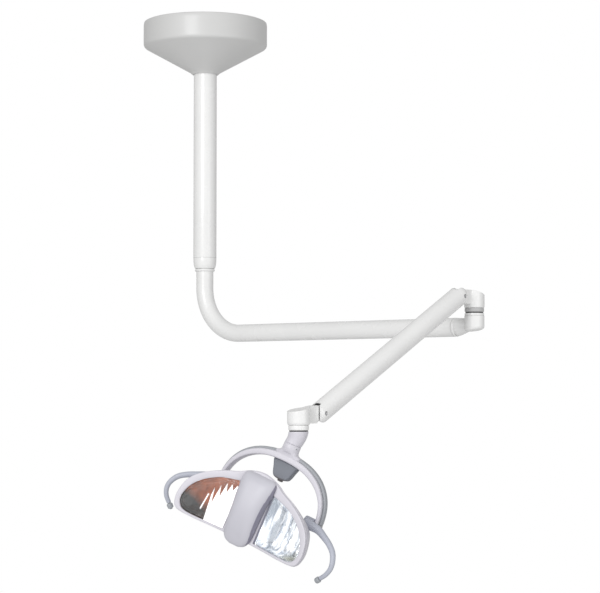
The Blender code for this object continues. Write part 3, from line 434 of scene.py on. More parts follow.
def merged(parts, voxel, passes=6, below=None):
    """One cast body from overlapping closed ones: voxel union, an optional top surface, then rounded joins."""
    bm = bmesh.new()
    for part, matrix in parts:
        mesh = to_mesh(part)
        mesh.transform(matrix)
        bm.from_mesh(mesh)
        bpy.data.meshes.remove(mesh)
    mesh = bpy.data.meshes.new("cast")
    bm.to_mesh(mesh)
    bm.free()
    obj = bpy.data.objects.new("cast", mesh)
    SCENE.collection.objects.link(obj)
    remesh = obj.modifiers.new("union", "REMESH")
    remesh.mode = "VOXEL"
    remesh.voxel_size = voxel
    result = evaluated_mesh(obj)
    bpy.data.objects.remove(obj, do_unlink=True)
    bm = bmesh.new()
    bm.from_mesh(result)
    if below:
        for vert in bm.verts:
            vert.co.z = min(vert.co.z, below(vert.co.x))
    for _ in range(passes):
        bmesh.ops.smooth_vert(bm, verts=bm.verts, factor=0.5, use_axis_x=True, use_axis_y=True,
                use_axis_z=True)
    bm.to_mesh(result)
    bm.free()
    return result


def carved(mesh, *cuts):
    """The mesh with the tools' volumes taken out."""
    obj = bpy.data.objects.new("carved", mesh)
    SCENE.collection.objects.link(obj)
    tools = []
    for tool_mesh in cuts:
        tool = bpy.data.objects.new("tool", tool_mesh)
        SCENE.collection.objects.link(tool)
        cut = obj.modifiers.new("cut", "BOOLEAN")
        cut.operation = "DIFFERENCE"
        cut.solver = "EXACT"
        cut.object = tool
        tools.append(tool)
    result = evaluated_mesh(obj)
    for used in [obj, *tools]:
        bpy.data.objects.remove(used, do_unlink=True)
    return result


def box_bmesh(low, high, bevel=0.0):
    bm = bmesh.new()
    bmesh.ops.create_cube(bm, size=1.0)
    low, high = Vector(low), Vector(high)
    bmesh.ops.scale(bm, vec=high - low, verts=bm.verts)
    bmesh.ops.translate(bm, vec=(high + low) / 2, verts=bm.verts)
    if bevel:
        bmesh.ops.bevel(bm, geom=bm.edges[:], offset=bevel, segments=3, affect="EDGES", profile=0.5)
    return bm


def plate(loops, thickness, edge, edge_segments=4, matrix=None):
    """A flat outline in X-Y with holes, thickened along Z with rounded edges, as a mesh."""
    curve = bpy.data.curves.new("plate", "CURVE")
    curve.dimensions = "2D"
    curve.fill_mode = "BOTH"
    for loop in loops:
        line = curve.splines.new("POLY")
        line.points.add(len(loop) - 1)
        for point, (x, y) in zip(line.points, loop):
            point.co = (x, y, 0.0, 1.0)
        line.use_cyclic_u = True
    curve.extrude = thickness / 2 - edge
    curve.bevel_depth = edge
    curve.bevel_resolution = edge_segments
    curve.offset = -edge
    obj = bpy.data.objects.new("plate", curve)
    SCENE.collection.objects.link(obj)
    mesh = evaluated_mesh(obj)
    bpy.data.objects.remove(obj, do_unlink=True)
    bpy.data.curves.remove(curve)
    bm = bmesh.new()
    bm.from_mesh(mesh)
    bmesh.ops.remove_doubles(bm, verts=bm.verts, dist=0.00001)
    bmesh.ops.recalc_face_normals(bm, faces=bm.faces)
    bm.to_mesh(mesh)
    bm.free()
    if matrix is not None:
        mesh.transform(matrix)
    return mesh


def turn(angle, axis):
    return Matrix.Rotation(angle, 4, axis)


def move(x, y, z):
    return Matrix.Translation(Vector((x, y, z)))


FACING_Y = turn(math.pi / 2, "X")
ALONG_X = turn(math.pi / 2, "Y")
ALONG_Y = turn(-math.pi / 2, "X")
GAP = 0.0003


def turned_piece(name, corners, matrix, body, mat, slot, *nodes, steps=96, smooth=35):
    return piece(name, to_mesh(revolve(rounded(corners), steps)), matrix, body, mat, slot, *nodes,
            smooth=smooth)


def ring_piece(name, bore, low, high, outside, matrix, body, mat, slot, *nodes, **options):
    """A turned ring with a straight bore from low to high; outside holds its corners from the top down."""
    corners = [(bore, high, 0), *outside, (bore, low, 0), (bore, high, 0)]
    return turned_piece(name, corners, matrix, body, mat, slot, *nodes, **options)


# ---------------------------------------------------------------- ceiling end
def make_canopy():
    low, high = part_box("canopy")
    radius, top, foot = high.x, high.z, low.z
    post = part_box("post_tube")[1].x
    wall_foot, wall = -0.0645, 0.0026
    outer = [(radius - 0.0048, top, 0.0), (radius - 0.0010, top - 0.0016, 0.0020),
            (radius, top - 0.009, 0.01), (radius, wall_foot, 0.011), (0.0395, foot + 0.0055, 0.006),
            (post + 0.0032, foot, 0.0010)]
    inner = [(post + 0.0006, foot, 0.0004), (0.0370, foot + 0.0072, 0.004),
            (radius - wall, wall_foot + 0.0012, 0.010), (radius - wall, top - 0.003, 0.001),
            (radius - 0.0048, top, 0.0)]
    turned_piece("canopy_shell", outer + inner, ROOT, "root", CANOPY_SHADE_ENAMEL, "canopy_enamel", "canopy",
            steps=160, smooth=50)


def make_ceiling_plate():
    low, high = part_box("ceiling_plate")
    radius, thick = high.x, high.z - low.z
    circle = [(radius * math.cos(math.tau * k / 160), radius * math.sin(math.tau * k / 160))
            for k in range(160)]
    holes, bolts = [], []
    for k in range(4):
        bolt_low, bolt_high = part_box(f"ceiling_bolt_{k + 1}")
        centre = (bolt_low + bolt_high) / 2
        bolts.append((centre, bolt_low.z, bolt_high.z))
        holes.append((centre.x, centre.y, 0.0045))
    holes.append((-0.088, 0.0, 0.010))
    loops = [circle]
    for x, y, r in holes:
        loops.append([(x + r * math.cos(math.tau * k / 32), y - r * math.sin(math.tau * k / 32))
                for k in range(32)])
    mesh = plate(loops, thick, 0.0005, 2, move(0, 0, (low.z + high.z) / 2))
    piece("ceiling_plate_disc", mesh, ROOT, "root", STEEL, "zinc_steel", "ceiling_plate")
    for k, (centre, bottom, top) in enumerate(bolts):
        head = revolve(rounded([(0, bottom, 0), (0.0066, bottom, 0.0008), (0.0074, bottom + 0.0008, 0.0003),
                (0.0074, low.z - 0.0018, 0.0002), (0.0085, low.z - 0.0018, 0.0002),
                (0.0085, low.z - GAP, 0.0002), (0.0041, low.z - GAP, 0.0), (0.0041, top, 0.0006),
                (0, top, 0)], 2), 48)
        for vert in head.verts:
            if vert.co.z < low.z - 0.0019 and vert.co.xy.length > 0.001:
                angle = math.atan2(vert.co.y, vert.co.x) % (math.pi / 3) - math.pi / 6
                vert.co.xy = vert.co.xy * (0.886 / math.cos(angle))
        piece(f"bolt_{k + 1}", to_mesh(head), move(centre.x, centre.y, 0), "root", STEEL, "zinc_steel",
              f"ceiling_bolt_{k + 1}", smooth=25)


def make_post():
    low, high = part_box("post_tube")
    radius, wall = high.x, 0.0029
    turned_piece("post_pipe", [(radius - wall, high.z, 0), (radius, high.z, 0.0006),
            (radius, low.z, 0.0005), (radius - wall, low.z, 0.0005), (radius - wall, high.z, 0)], ROOT,
            "root", ENAMEL, "white_enamel", "post_tube")
    low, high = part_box("post_end_collar")
    join, foot = -0.6203, low.z
    turned_piece("post_end_sleeve", [
        (radius - wall - 0.0004, high.z, 0), (radius - wall - 0.0004, join, 0), (radius, join, 0.0006),
        (radius - 0.0002, join - 0.010, 0.004), (radius - 0.0016, join - 0.0205, 0.006),
        (radius - 0.0042, foot, 0.0012), (0.0236, foot, 0.0004), (0.0236, foot + 0.0062, 0.0),
        (0.0256, foot + 0.0062, 0.0), (0.0256, high.z, 0.0), (radius - wall - 0.0004, high.z, 0)],
        ROOT, "root", ENAMEL, "white_enamel", "post_end_collar")


# ---------------------------------------------------------------- rigid arm and elbow
def make_rigid_arm():
    low, high = local_box("rigid_arm_tube", ARM)
    radius = high.y
    axis_z, bend = low.z + radius, 0.121
    path = [Vector((0, 0, high.z)), Vector((0, 0, (high.z + axis_z + bend) / 2))]
    for k in range(49):
        a = math.pi / 2 * k / 48
        path.append(Vector((bend * (1 - math.cos(a)), 0, axis_z + bend - bend * math.sin(a))))
    path += [Vector(((high.x + bend) / 2, 0, axis_z)), Vector((high.x, 0, axis_z))]
    tube = sweep(path, [(radius, radius)] * len(path), Vector((0, 1, 0)), count=72)
    piece("rigid_arm_bar", to_mesh(tube), ARM, "rigid_arm", ENAMEL, "white_enamel", "rigid_arm_tube")
    tube_end = high.x

    low, high = local_box("arm_thrust_ring", ARM)
    ring_piece("thrust_collar", radius + GAP, low.z, high.z, [(0.0252, high.z, 0.0006),
            (0.0258, high.z - 0.0028, 0.001), (0.0258, low.z + 0.0022, 0.001), (0.0236, low.z, 0.001)], ARM,
            "rigid_arm", ENAMEL, "white_enamel", "arm_thrust_ring")

    barrel, top, bottom = 0.0233, local_box("elbow_casting", ARM)[1].z, -0.8287
    upright = revolve(rounded([(0, top, 0), (barrel, top, 0.0008), (barrel, bottom, 0.0090),
            (0, bottom, 0)], 8), 72)
    for vert in upright.verts:
        if vert.co.z < (top + bottom) / 2:
            vert.co.z += 0.14 * vert.co.x
    boss = revolve(rounded([(0, 0.0010, 0), (radius, 0.0010, 0.0006), (radius, -0.0040, 0.0004),
            (0.0185, -0.0040, 0.0), (0.0185, -0.0300, 0.0), (0, -0.0300, 0)]), 72)
    cone = revolve(rounded([(0, 0.0370, 0), (0.0115, 0.0370, 0.002), (0.0158, 0.0330, 0.004),
            (0.0213, 0.0052, 0.0010), (0.0200, 0.0030, 0.0004), (0.0200, 0.0005, 0.0), (0, 0.0005, 0)]), 72)
    place = move(tube_end + 0.0043, 0, axis_z)
    mesh = merged([(upright, move(ARM_REACH, 0, 0)), (boss, place @ ALONG_X),
            (cone, place @ turn(math.radians(-8.5), "Y") @ ALONG_X)], CAST_VOXEL, 3)
    piece("elbow_socket", mesh, ARM, "rigid_arm", ENAMEL, "white_enamel", "elbow_casting", smooth=60)
    low, high = local_box("elbow_lower_ring", ARM)
    ring_piece("elbow_seat_ring", 0.0103, low.z, high.z, [(0.0224, high.z, 0.0007),
            (0.0228, low.z, 0.0004)], ARM @ move(ARM_REACH, 0, 0), "rigid_arm", ENAMEL, "white_enamel",
            "elbow_lower_ring")


def ear(reach, root_half):
    """A knuckle's ear: a rounded plate in X-Z about the pivot at the origin, rooted at x = reach."""
    radius, half_low, half_high = 0.0172, -EAR_HALF, 0.0040
    outline = [(radius * math.cos(a), radius * math.sin(a)) for a in np.linspace(math.pi / 2, math.pi * 1.5,
            40)]
    outline += [(reach, -root_half), (reach, root_half)]
    mesh = plate([outline], half_high - half_low, 0.0025, 4, move(0, (half_low + half_high) / 2,
            0) @ FACING_Y)
    bm = bmesh.new()
    bm.from_mesh(mesh)
    bpy.data.meshes.remove(mesh)
    return bm


def make_elbow():
    low, high = local_box("elbow_washer", ELBOW)
    ring_piece("elbow_gap_washer", 0.0103, low.z, high.z, [(0.0206, high.z, 0.0002),
            (0.0206, low.z, 0.0002)], ELBOW, "elbow", DARK, "black_nylon", "elbow_washer")
    low, high = local_box("elbow_upper_ring", ELBOW)
    ring_piece("elbow_trim_ring", 0.0103, low.z, high.z, [(0.0222, high.z, 0.0004),
            (0.0226, high.z - 0.0030, 0.001), (0.0226, low.z + 0.0022, 0.0006), (0.0218, low.z, 0.0005)],
            ELBOW, "elbow", RING_GREY, "grey_plastic", "elbow_upper_ring")
    base = high.z + GAP
    barrel = revolve(rounded([(0, -0.7330, 0), (0.0238, -0.7330, 0.0070), (0.0238, base + 0.0030, 0.0),
            (0.0228, base, 0.0010), (0, base, 0)], 8), 72)
    blade = ear(KNUCKLE_OFFSET - 0.006, 0.0135)
    turned = move(KNUCKLE_OFFSET, 0, UPPER_PIVOT_Z) @ turn(math.pi, "Z")
    shoulder = box_bmesh((0, -EAR_HALF, UPPER_PIVOT_Z - 0.0165), (KNUCKLE_OFFSET - SHOULDER, EAR_HALF,
            UPPER_PIVOT_Z + 0.0165), 0.0015)
    mesh = merged([(barrel, ROOT), (blade, turned), (shoulder, ROOT)], CAST_VOXEL, 5,
            lambda x: -0.7480 + UPPER_SLOPE * (x + 0.020))
    piece("elbow_knuckle", mesh, ELBOW, "elbow", ENAMEL, "white_enamel", "upper_knuckle", smooth=60)


# ---------------------------------------------------------------- spring arm
def make_spring_arm():
    radius, wall, end = local_box("spring_arm_shroud", FLEX)[1].y, 0.0020, FLEX_LENGTH
    angles = np.linspace(0, math.pi / 2, 14)
    capsule = [(radius * math.sin(a), end + radius * math.cos(a)) for a in angles]
    capsule += [(radius * math.cos(a), -radius * math.sin(a)) for a in angles]
    capsule[-1] = (0.0, -radius)
    outer = to_mesh(revolve(capsule, 96))
    outer.transform(ALONG_X)
    bore = radius - wall
    inner = to_mesh(revolve([(0, end - 0.005), (bore, end - 0.005), (bore, 0.005), (0, 0.005)], 96))
    inner.transform(ALONG_X)
    half, drop = 0.0117, math.asin(-FLEX_X.normalized().z)
    slots = []
    for x, past in ((0.0, -1), (end, 1)):
        slot = to_mesh(box_bmesh((-0.020, -half, -0.03), (0.020, half, 0.03)))
        slot.transform(move(x + past * 0.013, 0, 0))
        upright = to_mesh(box_bmesh((-0.03, -0.04, -0.06), (0.03, 0.04, 0.06)))
        upright.transform(move(x, 0, 0) @ turn(-drop, "Y") @ move(past * 0.039, 0, 0))
        slots += [slot, upright]
    holes = []
    for x in (0.0, end):
        drill = to_mesh(revolve([(0, 0.04), (0.0046, 0.04), (0.0046, -0.04), (0, -0.04)], 40))
        drill.transform(move(x, 0, 0) @ ALONG_Y)
        holes.append(drill)
    shell = carved(outer, inner, *slots, *holes)
    shroud = piece("spring_arm_cover", shell, FLEX, "spring_arm", ENAMEL, "white_enamel",
            "spring_arm_shroud", smooth=30)
    soften = shroud.modifiers.new("edges", "BEVEL")
    soften.width = 0.0006
    soften.segments = 2
    soften.limit_method = "ANGLE"
    soften.angle_limit = math.radians(40)
    for tag, x in (("upper", 0.0), ("lower", end)):
        head = revolve(rounded([(0, 0.0222, 0), (0.0030, 0.0222, 0.0), (0.0042, 0.0215, 0.0005),
                (0.0042, -0.0215, 0.0005), (0.0030, -0.0222, 0.0), (0, -0.0222, 0)]), 40)
        for vert in head.verts:
            if vert.co.xy.length < 0.0012:
                vert.co.z -= math.copysign(0.0010, vert.co.z)
        piece(f"{tag}_pin", to_mesh(head), FLEX @ move(x, 0, 0) @ ALONG_Y, "spring_arm", STEEL,
                "zinc_steel", f"{tag}_pivot_pin")


def make_lower_knuckle():
    bottom, barrel = local_box("lower_knuckle", LOWER)[0].z, 0.0245
    top = -1.0085 - joint_at("lower_leveller").z
    body = revolve(rounded([(0, top + 0.0062, 0), (barrel, top + 0.0062, 0.0075),
            (barrel, bottom + 0.0045, 0.0035), (0.0224, bottom, 0.0010), (0, bottom, 0)], 8), 72)
    blade = ear(HEAD_OFFSET - 0.006, 0.0140)
    shoulder = box_bmesh((SHOULDER, -EAR_HALF, -0.0165), (HEAD_OFFSET, EAR_HALF, 0.0165), 0.0015)
    web = box_bmesh((0.0135, -EAR_HALF, -0.0215), (HEAD_OFFSET, EAR_HALF, 0.0170), 0.0015)
    mesh = merged([(body, move(HEAD_OFFSET, 0, 0)), (blade, ROOT), (shoulder, ROOT), (web, ROOT)],
            CAST_VOXEL, 5, lambda x: top - 0.0003 - LOWER_SLOPE * (x - HEAD_OFFSET))
    piece("head_knuckle", mesh, LOWER, "lower_knuckle", ENAMEL, "white_enamel", "lower_knuckle", smooth=60)
    low, high = local_box("neck_upper_ring", LOWER)
    ring_piece("neck_seat_ring", 0.0100, low.z, high.z, [(0.0216, high.z, 0.0005),
            (0.0219, high.z - 0.004, 0.001), (0.0219, low.z + 0.002, 0.001), (0.0210, low.z, 0.0005)],
            LOWER @ move(HEAD_OFFSET, 0, 0), "lower_knuckle", ENAMEL, "white_enamel", "neck_upper_ring")


# ---------------------------------------------------------------- neck and yoke
HUB_TOP = local_box("yoke_hub", HEAD)[1].z
STRIP_INNER = (0.1180, 0.0955)
STRIP_OUTER = (0.1255, 0.1090)
COVER_OUTER = (0.1305, 0.1145)


def arch_height(x, half, rise, power=2.3):
    return rise * (1 - min(1.0, abs(x) / half) ** power) ** (1 / power)


def make_neck():
    spin = (NECK.inverted() @ HEAD).to_3x3()
    seam = NECK.inverted() @ (HEAD @ Vector((0, 0, HUB_TOP + GAP)))
    start = Vector((0, 0, -0.0014))
    rings = []
    steps = 24
    for k in range(steps + 1):
        t = k / steps
        centre = start.lerp(seam, t) + Vector((0.0022, 0, 0)) * math.sin(math.pi * t)
        mix = t * t * (3 - 2 * t)
        across = Vector((1, 0, 0)).lerp(spin @ Vector((1, 0, 0)), mix).normalized()
        along = Vector((0, 1, 0)).lerp(spin @ Vector((0, 1, 0)), mix).normalized()
        radius = 0.0213 + (0.0188 - 0.0213) * mix
        if k in (0, steps):
            radius -= 0.0008
        rings.append([centre + across * radius * math.cos(a) + along * radius * math.sin(a)
                for a in np.linspace(0, math.tau, 72, endpoint=False)])
    piece("neck_casting", to_mesh(skin(rings)), NECK, "neck", HEAD_PLASTIC, "head_plastic", "neck",
            smooth=50)
    low, high = local_box("neck_wear_ring", NECK)
    ring_piece("neck_gap_ring", 0.0100, low.z, high.z, [(0.0201, high.z, 0.0002), (0.0201, low.z, 0.0002)],
            NECK, "neck", DARK, "black_nylon", "neck_wear_ring")


def make_hub():
    stations = [(HUB_TOP, 0.0180, 0.0180), (HUB_TOP - 0.0008, 0.0188, 0.0188),
            (HUB_TOP - 0.0110, 0.0188, 0.0187), (HUB_TOP - 0.0150, 0.0194, 0.0180),
            (HUB_TOP - 0.0180, 0.0210, 0.0168), (HUB_TOP - 0.0196, 0.0235, 0.0156)]
    rings = [[Vector((x, y, z)) for x, y in superellipse(a, b, 2.0, 72)] for z, a, b in stations]
    for half, deep, lift in ((0.0285, 0.0143, 0.0006), (0.0300, 0.0136, -0.0006),
            (0.0300, 0.0132, -0.0075)):
        rings.append([Vector((x, y, arch_height(x, *COVER_OUTER) + lift)) for x,
                y in superellipse(half, deep, 2.4, 72)])
    piece("yoke_boss", to_mesh(skin(rings)), HEAD, "yoke", HEAD_PLASTIC, "head_plastic", "yoke_hub",
            smooth=50)
    at = Vector((0.0158, -0.0098, HUB_TOP - 0.0060))
    outward = Vector((at.x, at.y, 0)).normalized()
    screw = revolve(rounded([(0, 0.0004, 0), (0.0006, 0.0004, 0), (0.0008, 0.0008, 0),
            (0.0015, 0.0007, 0.0002), (0.0017, -0.0030, 0.0), (0, -0.0030, 0)]), 32)
    piece("yoke_set_screw", to_mesh(screw), HEAD @ basis(at, UP.cross(outward), outward), "yoke",
            GREY_PLASTIC, "grey_plastic", smooth=30)


def half_ring(outer, inner, foot, steps=72, power=2.3):
    """The yoke's squarish arch between two sizes (half width, rise), with a rounded foot at each end."""
    points = []
    for (half, rise), angles in ((outer, np.linspace(0, math.pi, steps)),
            (inner, np.linspace(math.pi, 0, steps))):
        points += [(half * math.copysign(abs(math.cos(a)) ** (2 / power), math.cos(a)),
                rise * abs(math.sin(a)) ** (2 / power)) for a in angles]
        sign = -1 if half == outer[0] else 1
        middle, wide = sign * (outer[0] + inner[0]) / 2, (outer[0] - inner[0]) / 2
        points += [(middle + wide * math.cos(a), foot * math.sin(a))
                for a in np.linspace(math.pi, math.tau, 18)[1:-1]]
    return points


def make_yoke():
    low, high = local_box("yoke_front", HEAD)
    front = plate([half_ring(STRIP_OUTER, STRIP_INNER, 0.0105)], high.y - low.y, 0.0028, 5,
            move(0, (high.y + low.y) / 2, 0) @ FACING_Y)
    piece("yoke_face_strip", front, HEAD, "yoke", HEAD_PLASTIC, "head_plastic", "yoke_front", smooth=40)
    strip_back = high.y
    low, high = local_box("yoke_rear_cover", HEAD)
    liner = plate([half_ring((0.1202, 0.0979), STRIP_INNER, 0.0096)], high.y - 0.0010 - strip_back, 0.0006,
            2, move(0, (high.y - 0.0010 + strip_back) / 2, 0) @ FACING_Y)
    piece("yoke_liner", liner, HEAD, "yoke", HEAD_PLASTIC, "head_plastic", "yoke_front", smooth=40)
    rear = plate([half_ring(COVER_OUTER, (0.1205, 0.0982), 0.0115)], high.y - low.y, 0.0034, 5,
            move(0, (high.y + low.y) / 2, 0) @ FACING_Y)
    piece("yoke_back_strip", rear, HEAD, "yoke", LIP_PLASTIC, "grey_plastic", "yoke_rear_cover", smooth=40)

    low, high = local_box("switch_pod", HEAD)
    middle, depth, half_top = (low.y + high.y) / 2, high.y - low.y, 0.0300
    inner = (STRIP_INNER[0] - GAP, STRIP_INNER[1] - GAP)
    arch = [(x, arch_height(x, *inner)) for x in np.linspace(half_top, -half_top, 25)]
    lower = spline([(-half_top + 0.0010, 0.0880), (-half_top + 0.0055, 0.0760), (-0.0205, 0.0640),
            (-0.0158, 0.0572), (-0.0080, 0.0545), (0.0, 0.0536)], 6)
    outline = arch + [tuple(p) for p in lower] + [(-x, z) for x, z in lower[-2::-1]]
    shell = plate([outline], depth, 0.0040, 5, move(0, middle, 0) @ FACING_Y)
    well = to_mesh(revolve([(0, 0.068), (0.0068, 0.068), (0.0068, 0.045), (0, 0.045)], 48))
    well.transform(move(0, middle, 0))
    piece("switch_housing", carved(shell, well), HEAD, "yoke", POD_PLASTIC, "pod_plastic", "switch_pod",
            smooth=40)
    low, high = local_box("lamp_switch", HEAD)
    turned_piece("push_switch", [(0, high.z, 0), (0.0063, high.z, 0.0005), (0.0063, low.z + 0.0012, 0.0006),
            (0.0054, low.z, 0.0010), (0, low.z, 0)], HEAD @ move(0, (low.y + high.y) / 2, 0), "switch",
            POD_PLASTIC, "pod_plastic", "lamp_switch")
    for side, sign in (("left", -1), ("right", 1)):
        low, high = local_box(f"{side}_friction_washer", HEAD)
        turned_piece(f"{side}_pitch_washer", [(0.0042, 0.0009, 0), (0.0098, 0.0009, 0.0003),
                (0.0098, -0.0009, 0.0003), (0.0042, -0.0009, 0), (0.0042, 0.0009, 0)],
                HEAD @ move((low.x + high.x) / 2, 0, 0) @ ALONG_X, "yoke", DARK, "black_nylon",
                f"{side}_friction_washer", steps=48)
        low, high = local_box(f"{side}_pitch_pin", HEAD)
        reach = (high.x - low.x)
        turned_piece(f"{side}_pivot_screw", [(0, 0, 0), (0.0060, 0, 0.0008), (0.0066, -0.0020, 0.0002),
                (0.0038, -0.0022, 0), (0.0038, -reach, 0.0005), (0, -reach, 0)],
                HEAD @ move(high.x if sign > 0 else low.x, 0, 0) @ turn(sign * math.pi / 2, "Y"), "yoke",
                STEEL, "zinc_steel", f"{side}_pitch_pin", steps=48)


# ---------------------------------------------------------------- head
FRONT_Y = -0.0785
BEZEL_THICK = 0.0065
WING_ROOT, WING_TIP, WING_SWEEP = 0.0402, 0.152, 0.022
OUTLINE = [(0.0, 0.0630), (0.030, 0.0570), (0.056, 0.0440), (0.080, 0.0350), (0.106, 0.0225),
        (0.132, 0.0045), (0.149, -0.0165), (0.1570, -0.0420), (0.1570, -0.0650), (0.1460, -0.0820),
        (0.110, -0.0858), (0.060, -0.0855)]
OPENING = [(0.0380, 0.0285), (0.0800, 0.0185), (0.1080, 0.0040), (0.1280, -0.0130), (0.1410, -0.0320),
        (0.1470, -0.0540), (0.1420, -0.0700), (0.1280, -0.0785), (0.0900, -0.0800), (0.0380, -0.0795)]


def lean(mesh, planes=True):
    """Leans both lobes forward about the bulb cover's edges; planes adds the edges that this folds along."""
    bm = bmesh.new()
    bm.from_mesh(mesh)
    if planes:
        for side in (-1, 1):
            bmesh.ops.bisect_plane(bm, geom=bm.verts[:] + bm.edges[:] + bm.faces[:],
                    plane_co=(side * WING_ROOT, 0, 0), plane_no=(1, 0, 0))
    slope = WING_SWEEP / (WING_TIP - WING_ROOT)
    for vert in bm.verts:
        vert.co.y -= slope * max(0.0, abs(vert.co.x) - WING_ROOT)
    bm.to_mesh(mesh)
    bm.free()
    return mesh


def head_outline(inset=0.0):
    left = [(-x, z) for x, z in reversed(OUTLINE[1:])]
    return inset_loop(spline(OUTLINE + left, closed=True), inset)


def inset_loop(loop, inset):
    """The closed loop moved inwards by a distance, along its own normals."""
    ahead = np.roll(loop, -1, axis=0) - np.roll(loop, 1, axis=0)
    normal = np.stack([-ahead[:, 1], ahead[:, 0]], axis=1)
    normal /= np.linalg.norm(normal, axis=1)[:, None]
    centre = loop.mean(axis=0)
    facing = np.sign(((centre - loop) * normal).sum(axis=1))
    return loop + normal * (np.median(facing) * inset)


def opening_curve(sign, inset=0.0, per_span=8):
    curve = spline(OPENING, per_span)
    centre = curve.mean(axis=0)
    away = curve - centre
    curve = centre + away * (1.0 - inset / np.linalg.norm(away, axis=1))[:, None]
    curve[:, 0] *= sign
    return curve if sign > 0 else curve[::-1]


def make_bezel():
    loops = [[tuple(p) for p in head_outline(0.0006)]]
    loops += [[tuple(p) for p in opening_curve(sign)] for sign in (1, -1)]
    mesh = plate(loops, BEZEL_THICK, 0.0026, 4, move(0, FRONT_Y - BEZEL_THICK / 2, 0) @ FACING_Y)
    hole = to_mesh(box_bmesh((-0.030, FRONT_Y - 0.02, -0.059), (0.030, FRONT_Y + 0.02, 0.035), 0.004))
    mesh = carved(mesh, hole)
    piece("head_bezel", lean(mesh), HEAD, "head", HEAD_PLASTIC, "head_plastic", "front_bezel", smooth=40)


SHELL_STATIONS = [(-0.0782, 0.985, 0.985, 0.985), (-0.0775, 0.994, 0.994, 0.994), (-0.0755, 1.0, 1.0, 1.0),
        (-0.0600, 0.978, 0.930, 0.985), (-0.0400, 0.930, 0.800, 0.940), (-0.0200, 0.860, 0.660, 0.860),
        (-0.0060, 0.755, 0.540, 0.745), (0.0040, 0.600, 0.430, 0.590), (0.0090, 0.420, 0.300, 0.400)]


def make_shell():
    middle = -0.014
    loop = head_outline()
    stations = spline(SHELL_STATIONS, 5)

    def skin_rings(inset):
        rings = []
        for y, wide, upper, lower in stations:
            ring = []
            for x, z in loop:
                mix = min(1.0, max(0.0, (z - middle) / 0.02 + 0.5))
                high = lower + (upper - lower) * mix - inset / 0.074
                ring.append((x * (wide - inset / 0.157), y - (inset if y > -0.0755 else 0.0),
                        middle + (z - middle) * high))
            rings.append(ring)
        return rings

    bm = bmesh.new()
    fronts = []
    for inset in (0.0, 0.0022):
        rows = [[bm.verts.new(p) for p in ring] for ring in skin_rings(inset)]
        size = len(rows[0])
        for a, b in zip(rows, rows[1:]):
            for i in range(size):
                bm.faces.new((a[i], a[(i + 1) % size], b[(i + 1) % size], b[i]))
        bm.faces.new(rows[-1])
        fronts.append(rows[0])
    size = len(fronts[0])
    for i in range(size):
        j = (i + 1) % size
        bm.faces.new((fronts[0][i], fronts[0][j], fronts[1][j], fronts[1][i]))
    piece("head_back_shell", lean(to_mesh(bm)), HEAD, "head", HEAD_PLASTIC, "head_plastic", "rear_shell",
            smooth=60)


def opening_span(x):
    """Lowest and highest z of the lobe's opening at a distance from the middle."""
    curve = opening_curve(1, -0.0012, 12)
    turn_at = int(np.argmax(curve[:, 0]))
    upper, lower = curve[:turn_at + 1], curve[turn_at:][::-1]
    x = float(np.clip(x, curve[:, 0].min(), curve[:, 0].max()))
    return float(np.interp(x, lower[:, 0], lower[:, 1])), float(np.interp(x, upper[:, 0], upper[:, 1]))


FLUTE = 0.0121                # width of one flute of the reflector
FLUTES = 9
LOBE_START = 0.0392
DISH = 0.050
TOOTH_START = 0.0545          # pointed shapes along the upper edge of the painted reflection
TOOTH = 0.0118
OLIVE_SPOT = (0.119, -0.070, -0.068)      # middles of the right reflector's dull area and of its painted highlight
PAINTED_HALO_CENTRE = (0.073, -0.050, -0.035)


